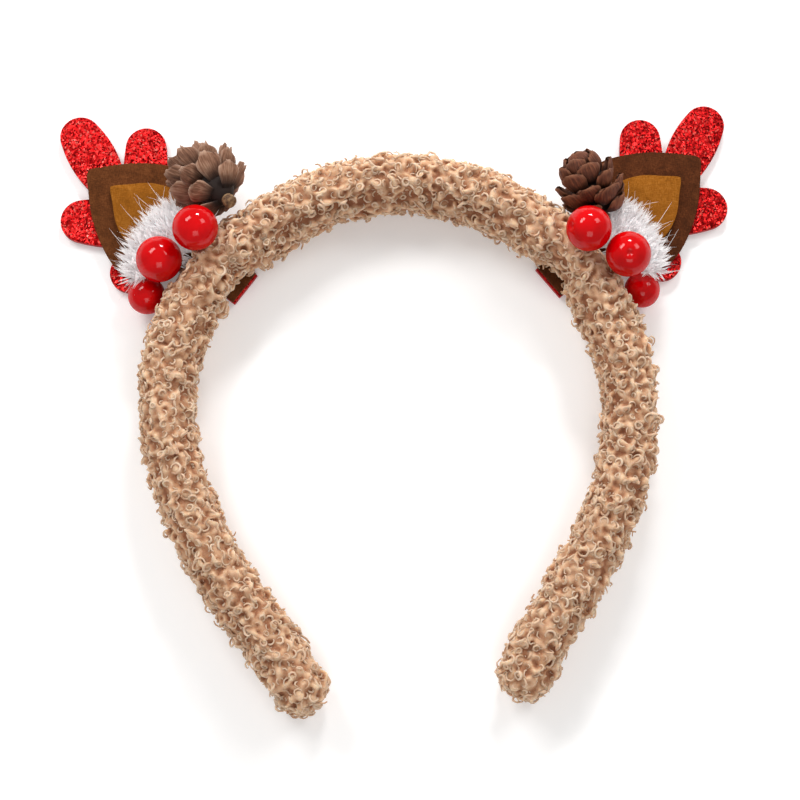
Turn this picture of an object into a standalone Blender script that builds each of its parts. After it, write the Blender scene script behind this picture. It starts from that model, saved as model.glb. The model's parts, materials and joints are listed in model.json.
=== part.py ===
"""Reindeer antler headband, lying on its back: a padded fleece hoop with an antler, a felt ear, a fur
tuft, a small pinecone and three berries on each shoulder. Metres, +Z up. The hoop opens towards -Y and
its decorated front faces +Z."""

import math

import bmesh
import bpy
from mathutils import Matrix, Vector, noise

# Clearance kept between touching pieces
GAP = 0.0003

# Padded hoop
HOOP_RADIUS = 0.0670
BAND_THICKNESS = 0.0186
BAND_DEPTH = 0.0240
BAND_SQUARENESS = 2.6
REST_FLAT = 0.0006
END_ROUND = 0.0080
END_SQUARENESS = 2.3
LEFT_REACH_DEG = 165.6
RIGHT_REACH_DEG = 159.4
GROOVE_DEPTH = 0.0022
LUMP_HEIGHT = 0.0007
LUMP_PITCH = 0.0060
STATION_STEP = 0.0040
END_STEPS = (0.06, 0.16, 0.32, 0.55, 0.80)
MEASURING_STEPS = 600

# Sheets that make the antler and the ear, stacked from the back
FLOOR_CLEARANCE = 0.0008
FOAM_THICKNESS = 0.0020
FELT_THICKNESS = 0.0012
ANTLER_REACH = 0.0590
EAR_LENGTH = 0.0445
EAR_WIDTH = 0.0386
INNER_EAR_LENGTH = 0.0320
INNER_EAR_WIDTH = 0.0226
INNER_EAR_SETBACK = 0.0092
TAB_WIDTH = 0.0114
TAB_SETBACK = 0.0017
TAB_DENT_LENGTH = 0.0150
FOAM_LIP = 0.0005

# Trims
BERRY_DIAMETER = 0.0136
BERRY_PIT_DEPTH = 0.0007
BERRY_PIT_SPREAD_DEG = 9.0
BERRY_SIDES = 16
BERRY_PIT_RINGS_DEG = (0.0, 8.0, 18.0, 36.0)
BERRY_PLAIN_RINGS = 7
BERRY_PLAIN_FROM_DEG = 58.5
CONE_WIDTH = 0.0240
CONE_LENGTH = 0.0260
CONE_CORE_SHARE = 0.50
CONE_CORE_LENGTH_SHARE = 0.78
CONE_SCALES = 34
SCALE_ROOTS_FROM = -0.62
SCALE_ROOTS_TO = 0.60
SCALE_ROOT_DEPTH = 0.72
SCALE_ROOT_TAPER = 0.80
SCALE_TIP_REACH = 0.97
SCALE_LEAN_FROM_DEG = -48.0
SCALE_LEAN_TO_DEG = 84.0
SCALE_NARROWING = 0.45
SCALE_WIDTH = 0.0085
SCALE_THICKNESS = 0.0011
TUFT_LENGTH = 0.0330
TUFT_WIDTH = 0.0160
TUFT_HEIGHT = 0.0100
LOCK_LENGTH = 0.0060
LOCK_WIDTH = 0.0044
LOCKS = 15
LOCK_FAN_DEG = 210.0
LOCK_ROOT_SHARE = 0.66
LOCK_ROOT_RISE = 0.25
LOCK_ROOT_DEPTH = 0.30
LOCK_LIFTS = (0.10, 0.45, 0.80)
LOCK_VARIATION = 0.25
LOCK_DROOP = 0.18
LOCK_FLATNESS = 0.60
LOCK_SIDES = 5

# Down each leg: degrees from the crown, then shares of hoop radius on the left and on the right leg, of
# band thickness and band depth, and of groove depth for the inner and the outer shoulder's crease
HOOP_ROWS = (
    # degrees, left_radius, right_radius, thickness, depth, inner_groove, outer_groove
    (0, 1.000, 1.000, 1.00, 1.00, 1.0, 0.0),
    (24, 0.994, 0.998, 1.01, 1.00, 1.0, 0.0),
    (34, 0.990, 1.000, 1.01, 1.00, 1.0, 0.0),
    (55, 1.012, 1.008, 1.01, 1.00, 0.6, 0.0),
    (74, 1.034, 1.016, 1.01, 1.00, 0.6, 0.0),
    (90, 1.036, 1.027, 0.97, 0.98, 0.7, 0.2),
    (105, 1.042, 1.040, 0.97, 0.97, 0.3, 0.8),
    (120, 1.055, 1.068, 0.97, 0.96, 0.0, 1.0),
    (130, 1.082, 1.098, 0.97, 0.96, 0.0, 1.0),
    (141, 1.138, 1.152, 0.97, 0.95, 0.0, 1.0),
    (150, 1.196, 1.238, 0.97, 0.95, 0.0, 0.9),
    (156, 1.268, 1.342, 0.97, 0.95, 0.0, 0.6),
    (160, 1.326, 1.432, 0.95, 0.94, 0.0, 0.4),
    (166, 1.422, 1.550, 0.95, 0.94, 0.0, 0.2),
)
LEFT_RADIUS, RIGHT_RADIUS, THICKNESS, DEPTH, INNER_GROOVE, OUTER_GROOVE = range(1, 7)

# Round the section: degrees from the outer face up to the front, how far each crease reaches there, and
# how lumpy the fleece is, which is level only where it rests
SECTION_ROWS = (
    # degrees, inner_groove, outer_groove, lumps
    (0, 0.0, 0.0, 1.0),
    (20, 0.0, 0.1, 1.0),
    (36, 0.0, 0.6, 1.0),
    (49, 0.0, 1.0, 1.0),
    (62, 0.0, 0.5, 1.0),
    (82, 0.0, 0.0, 1.0),
    (104, 0.1, 0.0, 1.0),
    (124, 0.6, 0.0, 1.0),
    (138, 1.0, 0.0, 1.0),
    (152, 0.5, 0.0, 1.0),
    (172, 0.0, 0.0, 1.0),
    (196, 0.0, 0.0, 1.0),
    (222, 0.0, 0.0, 1.0),
    (250, 0.0, 0.0, 0.0),
    (290, 0.0, 0.0, 0.0),
    (318, 0.0, 0.0, 1.0),
    (340, 0.0, 0.0, 1.0),
)

# The two sides as seen from the front: the antler's axis, in degrees from the crown, the dent where the
# tab draws the fleece in, as a share of BAND_THICKNESS, how far the inner ear is glued off the middle of
# the outer one towards the crown, as a share of its width, and the antler's size as a share of ANTLER_REACH
SIDES = (
    # name, sign, axis_degrees, tab_dent, inner_ear_shift, antler_size
    ("left", -1, 52.8, 0.13, 0.00, 1.000),
    ("right", 1, 50.2, 0.18, -0.05, 0.985),
)

# Lobes of the antler: shares of ANTLER_REACH, from the band's outer face out and from the axis to the
# crown, and how far each lobe's sides swell past straight ones
LOBES = (
    # root_out, root_across, root_radius, tip_out, tip_across, tip_radius, swell_degrees
    (0.12, 0.00, 0.140, 0.41, 0.000, 0.210, 0),
    (0.60, 0.00, 0.080, 0.910, 0.124, 0.108, 20),
    (0.40, 0.03, 0.100, 0.597, 0.287, 0.107, 9),
    (0.36, -0.06, 0.115, 0.614, -0.229, 0.114, 12),
    (0.16, 0.08, 0.085, 0.232, 0.290, 0.105, 6),
    (0.16, -0.08, 0.085, 0.240, -0.296, 0.105, 6),
)
TRUNK_END = LOBES[0][3]
LOBE_TIP_STEPS = 8
LOBE_ROOT_STEPS = 4
LOBE_SIDE_STEPS = 4

# Ear outline from its tip to the band's outer face: shares of ear length and of half its width
EAR_ROWS = (
    # from_tip, half_width
    (0.005, 0.030),
    (0.022, 0.090),
    (0.070, 0.205),
    (0.145, 0.383),
    (0.245, 0.590),
    (0.380, 0.795),
    (0.525, 0.950),
    (0.636, 1.000),
    (0.737, 0.975),
    (0.820, 0.880),
    (0.890, 0.690),
    (0.945, 0.430),
)
INNER_EAR_ROWS = (
    # from_tip, half_width
    (0.000, 0.008),
    (0.030, 0.112),
    (0.135, 0.375),
    (0.265, 0.705),
    (0.440, 0.940),
    (0.620, 1.000),
    (0.780, 0.960),
    (0.900, 0.800),
    (0.975, 0.520),
    (1.000, 0.200),
)

# Berries: degrees past the antler's axis, the section angle where each is glued, its diameter as a share
# of BERRY_DIAMETER, how far it is pressed into the fleece as a share of its radius, and its pit's direction
BERRIES = (
    # side, name, degrees, section_degrees, size, press, pit_direction
    ("left", "top", -1.3, 52, 1.00, 0.08, (0.6, 0.5, -0.6)),
    ("left", "middle", 8.0, 20, 1.02, 0.08, (0.7, -0.6, 0.1)),
    ("left", "low", 14.8, -10, 0.84, 0.00, (0.5, -0.5, -0.7)),
    ("right", "top", -0.95, 69, 0.99, 0.08, (-0.85, -0.03, 0.52)),
    ("right", "middle", 8.5, 47, 0.99, 0.06, (-0.05, -0.20, 0.97)),
    ("right", "low", 14.8, -12, 0.80, 0.15, (-0.5, -0.6, -0.6)),
)

# Pinecones: degrees past the antler's axis (minus is towards the crown), size, how far the cone stands off
# the band as a share of its radius, and the direction from its stem to its tip
CONES = (
    # side, degrees, size, stand_off, axis
    ("left", -11.3, 0.99, 1.04, (-0.55, 0.50, -0.67)),
    ("right", -8.8, 0.86, 0.96, (-0.40, 0.80, 0.35)),
)

# Fur tufts: degrees past the antler's axis, and size
TUFTS = (
    # side, degrees, size
    ("left", 3.4, 1.00),
    ("right", 4.2, 0.92),
)

for old in list(bpy.data.objects):
    bpy.data.objects.remove(old, do_unlink=True)

scene = bpy.context.scene
parts = bpy.data.collections.new("Reindeer antler headband")
cutters = bpy.data.collections.new("Cutters")
scene.collection.children.link(parts)
scene.collection.children.link(cutters)
cutters.hide_render = True


def finish(name, colour_hex, roughness):
    """A Principled material from an sRGB hex colour."""
    material = bpy.data.materials.new(name)
    material.use_nodes = True
    shader = material.node_tree.nodes["Principled BSDF"]
    channels = [int(colour_hex[i : i + 2], 16) / 255 for i in (0, 2, 4)]
    linear = [c / 12.92 if c <= 0.04045 else ((c + 0.055) / 1.055) ** 2.4 for c in channels]
    shader.inputs["Base Color"].default_value = (*linear, 1.0)
    shader.inputs["Roughness"].default_value = roughness
    material.diffuse_color = (*linear, 1.0)
    return material


def empty(name, parent=None):
    obj = bpy.data.objects.new(name, None)
    parts.objects.link(obj)
    obj.parent = parent
    return obj


def place_mesh(name, mesh, parent, material=None, smooth_deg=None):
    """A mesh as a part of the headband, or as a cutter where it has no material."""
    obj = bpy.data.objects.new(name, mesh)
    obj.parent = parent
    if material is None:
        cutters.objects.link(obj)
        obj.hide_render = True
        obj.display_type = "WIRE"
    else:
        parts.objects.link(obj)
        mesh.materials.append(material)
    if smooth_deg:
        mesh.shade_smooth()
        mesh.set_sharp_from_angle(angle=math.radians(smooth_deg))
    return obj


def mesh_from(shape, name):
    """A plain mesh from a bmesh, with its faces turned outwards."""
    bmesh.ops.recalc_face_normals(shape, faces=shape.faces)
    mesh = bpy.data.meshes.new(name)
    shape.to_mesh(mesh)
    shape.free()
    return mesh


def boolean(obj, operation, tool):
    """Joins or cuts obj by an object, or by all objects of a collection."""
    modifier = obj.modifiers.new(f"{operation.lower()}_{tool.name}", "BOOLEAN")
    modifier.operation = operation
    modifier.solver = "EXACT"
    if isinstance(tool, bpy.types.Collection):
        modifier.operand_type = "COLLECTION"
        modifier.collection = tool
    else:
        modifier.object = tool


def follow(rows, at, column):
    """Smooth value of one column of a table, whose first column rises."""
    stops = [row[0] for row in rows]
    at = min(max(at, stops[0]), stops[-1])
    low = max(i for i in range(len(stops) - 1) if stops[i] <= at)
    high = low + 1

    def slope(i):
        before, after = max(i - 1, 0), min(i + 1, len(stops) - 1)
        return (rows[after][column] - rows[before][column]) / (stops[after] - stops[before])

    span = stops[high] - stops[low]
    t = (at - stops[low]) / span
    start, end = rows[low][column], rows[high][column]
    return (
        start * (2 * t**3 - 3 * t**2 + 1)
        + end * (3 * t**2 - 2 * t**3)
        + slope(low) * span * (t**3 - 2 * t**2 + t)
        + slope(high) * span * (t**3 - t**2)
    )


def hoop_point(degrees):
    """A point of the hoop's centreline, at minus degrees on the left leg and plus on the right."""
    radius = HOOP_RADIUS * follow(HOOP_ROWS, abs(degrees), LEFT_RADIUS if degrees < 0 else RIGHT_RADIUS)
    angle = math.radians(degrees)
    height = BAND_DEPTH / 2 * follow(HOOP_ROWS, abs(degrees), DEPTH) - REST_FLAT
    return Vector((radius * math.sin(angle), radius * math.cos(angle), height))


def outward(degrees):
    """The direction away from the head, square to the centreline."""
    along = hoop_point(degrees + 0.5) - hoop_point(degrees - 0.5)
    return Vector((-along.y, along.x, 0)).normalized()


def face_radius(degrees):
    """How far the band's outer face lies from the middle of the hoop."""
    half = BAND_THICKNESS / 2 * follow(HOOP_ROWS, abs(degrees), THICKNESS)
    return hoop_point(degrees).xy.length + half


def superellipse(degrees, half_width, half_height, squareness):
    cosine, sine = math.cos(math.radians(degrees)), math.sin(math.radians(degrees))
    return (
        half_width * math.copysign(abs(cosine) ** (2 / squareness), cosine),
        half_height * math.copysign(abs(sine) ** (2 / squareness), sine),
    )


def glued_point(degrees, section_degrees, stand_off):
    """A point that stands off the fleece, square to its surface, at one place of the hoop and section."""
    half_width = BAND_THICKNESS / 2 * follow(HOOP_ROWS, abs(degrees), THICKNESS)
    half_height = BAND_DEPTH / 2 * follow(HOOP_ROWS, abs(degrees), DEPTH)
    out, up = superellipse(section_degrees, half_width, half_height, BAND_SQUARENESS)
    power = BAND_SQUARENESS - 1
    normal = Vector(
        (
            math.copysign(abs(out / half_width) ** power / half_width, out),
            math.copysign(abs(up / half_height) ** power / half_height, up),
        )
    ).normalized()
    out += normal.x * stand_off
    up += normal.y * stand_off
    return hoop_point(degrees) + outward(degrees) * out + Vector((0, 0, up))


fleece = finish("sherpa fleece", "CCAB92", 0.95)
glitter_foam = finish("red glitter foam", "DB3434", 0.35)
brown_felt = finish("dark brown felt", "61371F", 0.95)
golden_felt = finish("golden brown felt", "9C6025", 0.95)
white_fur = finish("white fur", "E4DADC", 0.9)
cone_wood = finish("pinecone scales", "6D4835", 0.8)
berry_red = finish("glossy red lacquer", "C00206", 0.12)

headband = empty("headband_origin")


# Fleece hoop
def end_share(from_end):
    """How much of the full section is left this far from a rounded end."""
    inner = max(1 - from_end / END_ROUND, 0)
    return (1 - inner**END_SQUARENESS) ** (1 / END_SQUARENESS)


def band_stations():
    """Degrees along the hoop and distance from the nearer end, at even steps that close up at the ends."""
    step = (LEFT_REACH_DEG + RIGHT_REACH_DEG) / MEASURING_STEPS
    fine = [-LEFT_REACH_DEG + step * i for i in range(MEASURING_STEPS + 1)]
    gone = [0.0]
    for before, after in zip(fine, fine[1:]):
        gone.append(gone[-1] + (hoop_point(after) - hoop_point(before)).length)
    length = gone[-1]
    closeness = [END_ROUND * share for share in END_STEPS]
    count = round((length - 2 * END_ROUND) / STATION_STEP)
    middle = [END_ROUND + (length - 2 * END_ROUND) * i / count for i in range(count + 1)]
    stops = closeness + middle + [length - c for c in reversed(closeness)]
    stations = []
    for stop in stops:
        i = max(k for k in range(len(gone) - 1) if gone[k] <= stop)
        part_way = (stop - gone[i]) / (gone[i + 1] - gone[i])
        stations.append((fine[i] + (fine[i + 1] - fine[i]) * part_way, min(stop, length - stop)))
    return stations


def tab_dent(degrees):
    """How far the inner face is drawn in where an antler's tab comes through."""
    depth = 0.0
    for _, sign, axis_deg, dent, _, _ in SIDES:
        away = (hoop_point(degrees) - hoop_point(sign * axis_deg)).length
        depth += BAND_THICKNESS * dent * math.exp(-((2 * away / TAB_DENT_LENGTH) ** 4))
    return depth


def band_mesh():
    shape = bmesh.new()
    rings = []
    for degrees, from_end in band_stations():
        here = abs(degrees)
        share = end_share(from_end)
        half_width = BAND_THICKNESS / 2 * follow(HOOP_ROWS, here, THICKNESS) * share
        half_height = BAND_DEPTH / 2 * follow(HOOP_ROWS, here, DEPTH) * share
        centre, out_way = hoop_point(degrees), outward(degrees)
        ring = []
        for angle, inner_groove, outer_groove, lumps in SECTION_ROWS:
            out, up = superellipse(angle, half_width, half_height, BAND_SQUARENESS)
            spoke = Vector((out, up))
            creased = inner_groove * follow(HOOP_ROWS, here, INNER_GROOVE)
            creased += outer_groove * follow(HOOP_ROWS, here, OUTER_GROOVE)
            spot = centre + out_way * out + Vector((0, 0, up))
            lump = LUMP_HEIGHT * lumps * noise.noise(spot / LUMP_PITCH)
            spoke = spoke.normalized() * (spoke.length - share * (GROOVE_DEPTH * creased - lump))
            spoke.x += tab_dent(degrees) * max(-math.cos(math.radians(angle)), 0)
            point = centre + out_way * spoke.x + Vector((0, 0, spoke.y))
            point.z = max(point.z, 0.0)
            ring.append(shape.verts.new(point))
        rings.append(ring)
    count = len(SECTION_ROWS)
    for ring, after in zip(rings, rings[1:]):
        for i in range(count):
            j = (i + 1) % count
            shape.faces.new((ring[i], ring[j], after[j], after[i]))
    shape.faces.new(rings[0])
    shape.faces.new(rings[-1][::-1])
    return mesh_from(shape, "fleece_band")


band = place_mesh("fleece_band", band_mesh(), headband, fleece, smooth_deg=60)


# Flat sheets cut to an outline
def sheet(name, outline, thickness, parent, material):
    """A flat outline raised to a thickness, its under side at its own origin."""
    curve = bpy.data.curves.new(name, "CURVE")
    curve.dimensions = "2D"
    curve.fill_mode = "BOTH"
    curve.extrude = thickness / 2
    spline = curve.splines.new("POLY")
    spline.points.add(len(outline) - 1)
    for point, (x, y) in zip(spline.points, outline):
        point.co = (x, y, 0, 1)
    spline.use_cyclic_u = True
    guide = bpy.data.objects.new(f"{name}_outline", curve)
    cutters.objects.link(guide)
    bpy.context.view_layer.update()
    mesh = bpy.data.meshes.new_from_object(guide.evaluated_get(bpy.context.evaluated_depsgraph_get()))
    bpy.data.objects.remove(guide)
    shape = bmesh.new()
    shape.from_mesh(mesh)
    bpy.data.meshes.remove(mesh)
    bmesh.ops.remove_doubles(shape, verts=shape.verts, dist=1e-6)
    bmesh.ops.translate(shape, verts=shape.verts, vec=(0, 0, thickness / 2))
    return place_mesh(name, mesh_from(shape, name), parent, material)


def leaf(length, width, rows, tip_out, mirror, extra=()):
    """A leaf's outline with its tip at tip_out, and extra corners from its base towards the head."""
    upper = [(tip_out - length * along, width / 2 * half) for along, half in rows] + list(extra)
    lower = [(x, -y) for x, y in reversed(upper)]
    return [(x, y * mirror) for x, y in upper + lower]


def on_circle(centre, radius, angle):
    return centre + radius * Vector((math.cos(angle), math.sin(angle)))


def side_between(start, start_angle, end, end_angle, steps):
    """Points between two arcs, on the smooth curve that carries each one on."""
    reach = (end - start).length
    leaving = Vector((-math.sin(start_angle), math.cos(start_angle))) * reach
    arriving = Vector((-math.sin(end_angle), math.cos(end_angle))) * reach
    points = []
    for i in range(1, steps):
        t = i / steps
        points.append(
            start * (2 * t**3 - 3 * t**2 + 1)
            + end * (3 * t**2 - 2 * t**3)
            + leaving * (t**3 - 2 * t**2 + t)
            + arriving * (t**3 - t**2)
        )
    return points


def egg(root, root_radius, tip, tip_radius, swell_degrees):
    """The outline round two circles, its sides swelling out past their common tangents."""
    across = tip - root
    lean = math.acos((root_radius - tip_radius) / across.length)
    heading = math.atan2(across.y, across.x)
    swell = math.radians(swell_degrees)
    arcs = (
        (tip, tip_radius, heading - lean + swell, heading + lean - swell, LOBE_TIP_STEPS),
        (root, root_radius, heading + lean + swell, heading + 2 * math.pi - lean - swell, LOBE_ROOT_STEPS),
    )
    outline = []
    for (centre, radius, first, last, steps), following in zip(arcs, arcs[::-1]):
        for i in range(steps + 1):
            outline.append(on_circle(centre, radius, first + (last - first) * i / steps))
        start = on_circle(*following[:3])
        outline += side_between(outline[-1], last, start, following[2], LOBE_SIDE_STEPS)
    return [tuple(point) for point in outline]


def rectangle(x_low, x_high, half_width):
    return [(x_low, -half_width), (x_high, -half_width), (x_high, half_width), (x_low, half_width)]


FOAM_BASE = FLOOR_CLEARANCE
FELT_BASE = FOAM_BASE + FOAM_THICKNESS + GAP
INNER_FELT_BASE = FELT_BASE + FELT_THICKNESS + GAP
INNER_FELT_TOP = INNER_FELT_BASE + FELT_THICKNESS


def antler(side, mirror, frame, tab_end, reach):
    """Foam antler: lobes and a tab joined into one sheet."""
    body = sheet(
        f"{side}_antler",
        rectangle(tab_end - FOAM_LIP, TRUNK_END * reach, TAB_WIDTH / 2),
        FOAM_THICKNESS,
        frame,
        glitter_foam,
    )
    body.location.z = FOAM_BASE
    for i, row in enumerate(LOBES):
        lengths = [share * reach for share in row[:6]]
        root = Vector((lengths[0], lengths[1] * mirror))
        tip = Vector((lengths[3], lengths[4] * mirror))
        outline = egg(root, lengths[2], tip, lengths[5], row[6])
        lobe = sheet(f"{side}_lobe_{i}", outline, FOAM_THICKNESS, frame, None)
        lobe.location.z = FOAM_BASE
        boolean(body, "UNION", lobe)
    return body


def side_frame(side, sign, axis_deg):
    """An empty on the band's outer face: its X runs out along the antler."""
    frame = empty(f"{side}_antler_root", headband)
    centre = Vector((sign * math.sin(math.radians(axis_deg)), math.cos(math.radians(axis_deg)), 0))
    frame.location = centre * face_radius(sign * axis_deg)
    frame.rotation_euler.z = math.atan2(centre.y, centre.x)
    return frame


frames = {}
for side, sign, axis_deg, _, inner_ear_shift, antler_size in SIDES:
    frame = side_frame(side, sign, axis_deg)
    frames[side] = (sign, axis_deg, frame)
    tab_end = TAB_SETBACK - BAND_THICKNESS * follow(HOOP_ROWS, axis_deg, THICKNESS)
    antler(side, sign, frame, tab_end, ANTLER_REACH * antler_size)
    tab = [(0.0, TAB_WIDTH / 2), (tab_end, TAB_WIDTH / 2)]
    outer = sheet(
        f"{side}_ear_outer",
        leaf(EAR_LENGTH, EAR_WIDTH, EAR_ROWS, EAR_LENGTH, sign, tab),
        FELT_THICKNESS,
        frame,
        brown_felt,
    )
    outer.location.z = FELT_BASE
    inner = sheet(
        f"{side}_ear_inner",
        leaf(INNER_EAR_LENGTH, INNER_EAR_WIDTH, INNER_EAR_ROWS, EAR_LENGTH - INNER_EAR_SETBACK, sign),
        FELT_THICKNESS,
        frame,
        golden_felt,
    )
    inner.location.z = INNER_FELT_BASE
    inner.location.y = sign * inner_ear_shift * INNER_EAR_WIDTH
    # The slot that the tab lies in, open at the band's back
    slot = sheet(
        f"{side}_tab_slot",
        rectangle(-2 * BAND_THICKNESS, BAND_THICKNESS, TAB_WIDTH / 2 + GAP),
        FELT_BASE + FELT_THICKNESS + 2 * GAP,
        frame,
        None,
    )
    slot.location.z = -GAP
    boolean(band, "DIFFERENCE", slot)


# Berries
def ball(name, radius, parent, material=None):
    shape = bmesh.new()
    bmesh.ops.create_icosphere(shape, subdivisions=3, radius=radius)
    return place_mesh(name, mesh_from(shape, name), parent, material)


def berry_profile(radius):
    """Half a round berry with a pit in its top, from the pit down its outer side."""
    step = (180 - BERRY_PLAIN_FROM_DEG) / (BERRY_PLAIN_RINGS - 1)
    plain = [BERRY_PLAIN_FROM_DEG + step * i for i in range(BERRY_PLAIN_RINGS)]
    profile = []
    for degrees in [*BERRY_PIT_RINGS_DEG, *plain]:
        angle = math.radians(degrees)
        sunk = math.exp(-((degrees / BERRY_PIT_SPREAD_DEG) ** 2))
        reach = radius - BERRY_PIT_DEPTH * sunk
        profile.append((max(reach * math.sin(angle), 0.0), reach * math.cos(angle)))
    return profile


def turned(name, profile, sides, parent, material):
    """A profile turned about Z."""
    shape = bmesh.new()
    verts = [shape.verts.new((x, 0, z)) for x, z in profile]
    for low, high in zip(verts, verts[1:]):
        shape.edges.new((low, high))
    mesh = bpy.data.meshes.new(name)
    shape.to_mesh(mesh)
    shape.free()
    obj = place_mesh(name, mesh, parent, material)
    screw = obj.modifiers.new("turned", "SCREW")
    screw.steps = screw.render_steps = sides
    screw.use_merge_vertices = True
    screw.merge_threshold = 1e-5
    screw.use_smooth_shade = True
    return obj


berry_seats = {"left": [], "right": []}
for side, name, past_deg, section_deg, size, press, pit in BERRIES:
    sign, axis_deg, frame = frames[side]
    radius = BERRY_DIAMETER / 2 * size
    centre = glued_point(sign * (axis_deg + past_deg), section_deg, radius * (1 - press))
    berry = turned(f"{side}_berry_{name}", berry_profile(radius), BERRY_SIDES, headband, berry_red)
    berry.location = centre
    berry.rotation_mode = "QUATERNION"
    berry.rotation_quaternion = Vector(pit).to_track_quat("Z", "Y")
    seat = ball(f"{side}_seat_{name}", radius + GAP, headband)
    seat.location = centre
    berry_seats[side].append(seat)
    boolean(band, "DIFFERENCE", seat)


# Pinecones
GOLDEN_ANGLE_DEG = 137.508

# One scale from its root to its rounded tip: share of its length, of its width, and how far its crown
# stands above its edges as a share of its width
SCALE_ROWS = (
    # along, width, crown
    (0.00, 0.45, 0.06),
    (0.40, 0.80, 0.16),
    (0.78, 0.98, 0.20),
    (1.00, 0.52, 0.10),
)


def cone_scale(root, tip, crown_way, width):
    """A spoon-shaped scale from root to tip, as lens-shaped sections."""
    shape = bmesh.new()
    side_way = (tip - root).cross(crown_way).normalized()
    crown_way = side_way.cross(tip - root).normalized()
    rings = []
    for along, spread, crown in SCALE_ROWS:
        middle = root.lerp(tip, along)
        half = side_way * (width / 2 * spread)
        raised = crown_way * (width * crown)
        thin = crown_way * (SCALE_THICKNESS / 2)
        corners = (middle - half, middle + raised + thin, middle + half, middle + raised - thin)
        rings.append([shape.verts.new(corner) for corner in corners])
    for ring, after in zip(rings, rings[1:]):
        for i in range(4):
            j = (i + 1) % 4
            shape.faces.new((ring[i], ring[j], after[j], after[i]))
    shape.faces.new(rings[0])
    shape.faces.new(rings[-1])
    return mesh_from(shape, "scale")


def pinecone(side, size, parent):
    """A small open cone about Z, stem down: a spindle core with scales set round it in a spiral."""
    half_width, half_length = CONE_WIDTH / 2 * size, CONE_LENGTH / 2 * size
    shape = bmesh.new()
    bmesh.ops.create_uvsphere(shape, u_segments=10, v_segments=6, radius=1.0)
    core_radius = half_width * CONE_CORE_SHARE
    squeeze = Matrix.Diagonal((core_radius, core_radius, half_length * CONE_CORE_LENGTH_SHARE))
    bmesh.ops.transform(shape, matrix=squeeze.to_4x4(), verts=shape.verts)
    core = place_mesh(f"{side}_pinecone", mesh_from(shape, "core"), parent, cone_wood)
    scales = bpy.data.collections.new(f"{side} scales")
    cutters.children.link(scales)
    for i in range(CONE_SCALES):
        rise = (i + 0.5) / CONE_SCALES
        turn = math.radians(GOLDEN_ANGLE_DEG * i)
        spoke = Vector((math.cos(turn), math.sin(turn), 0))
        root_height = half_length * (SCALE_ROOTS_FROM + (SCALE_ROOTS_TO - SCALE_ROOTS_FROM) * rise)
        taper = SCALE_ROOT_TAPER * (2 * rise - 1)
        root_radius = core_radius * SCALE_ROOT_DEPTH * math.sqrt(1 - taper**2)
        lean = math.radians(SCALE_LEAN_FROM_DEG + (SCALE_LEAN_TO_DEG - SCALE_LEAN_FROM_DEG) * rise)
        tip = spoke * (half_width * SCALE_TIP_REACH * math.cos(lean))
        tip.z = half_length * math.sin(lean)
        root = spoke * root_radius + Vector((0, 0, root_height))
        width = SCALE_WIDTH * size * (1.0 - SCALE_NARROWING * rise**2)
        mesh = cone_scale(root, tip, Vector((0, 0, -1)) + spoke * rise, width)
        scale = bpy.data.objects.new(f"{side}_scale_{i}", mesh)
        scale.parent = core
        scales.objects.link(scale)
        scale.hide_render = True
        scale.display_type = "WIRE"
    boolean(core, "UNION", scales)
    return core


cone_seats = {}
for side, past_deg, size, stand_off, axis in CONES:
    sign, axis_deg, frame = frames[side]
    reach = CONE_WIDTH / 2 * size
    degrees = sign * (axis_deg + past_deg)
    radius = face_radius(degrees) + GAP + reach * stand_off
    angle = math.radians(degrees)
    height = INNER_FELT_TOP + GAP + max(reach, CONE_LENGTH / 2 * size)
    centre = Vector((radius * math.sin(angle), radius * math.cos(angle), height))
    cone = pinecone(side, size, headband)
    cone.location = centre
    cone.rotation_mode = "QUATERNION"
    cone.rotation_quaternion = Vector(axis).to_track_quat("Z", "Y")
    for seat in berry_seats[side]:
        boolean(cone, "DIFFERENCE", seat)
    cone_seat = ball(f"{side}_cone_seat", 1.0, headband)
    cone_seat.location = centre
    cone_seat.rotation_mode = "QUATERNION"
    cone_seat.rotation_quaternion = cone.rotation_quaternion
    cone_seat.scale = (reach + GAP, reach + GAP, CONE_LENGTH / 2 * size + GAP)
    boolean(band, "DIFFERENCE", cone_seat)
    cone_seats[side] = cone_seat


# Fur tufts, whose locks taper to a point: share of a lock's length, and of its width there
LOCK_ROWS = (
    # along, width
    (0.00, 1.00),
    (0.55, 0.72),
    (0.85, 0.34),
)


def fur_lock(root, way, length, width):
    """A tapered lock of fur that droops towards its point."""
    shape = bmesh.new()
    rings = []
    side_way = way.cross(Vector((0, 0, 1))).normalized()
    up_way = side_way.cross(way).normalized()
    for along, spread in LOCK_ROWS:
        middle = root + way * (length * along) - Vector((0, 0, length * LOCK_DROOP * along**2))
        ring = []
        for i in range(LOCK_SIDES):
            angle = 2 * math.pi * i / LOCK_SIDES
            offset = side_way * math.cos(angle) + up_way * (LOCK_FLATNESS * math.sin(angle))
            ring.append(shape.verts.new(middle + offset * (width / 2 * spread)))
        rings.append(ring)
    for ring, after in zip(rings, rings[1:]):
        for i in range(LOCK_SIDES):
            j = (i + 1) % LOCK_SIDES
            shape.faces.new((ring[i], ring[j], after[j], after[i]))
    shape.faces.new(rings[0])
    tip = shape.verts.new(root + way * length - Vector((0, 0, length * LOCK_DROOP)))
    for i in range(LOCK_SIDES):
        shape.faces.new((rings[-1][i], rings[-1][(i + 1) % LOCK_SIDES], tip))
    return mesh_from(shape, "lock")


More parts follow.
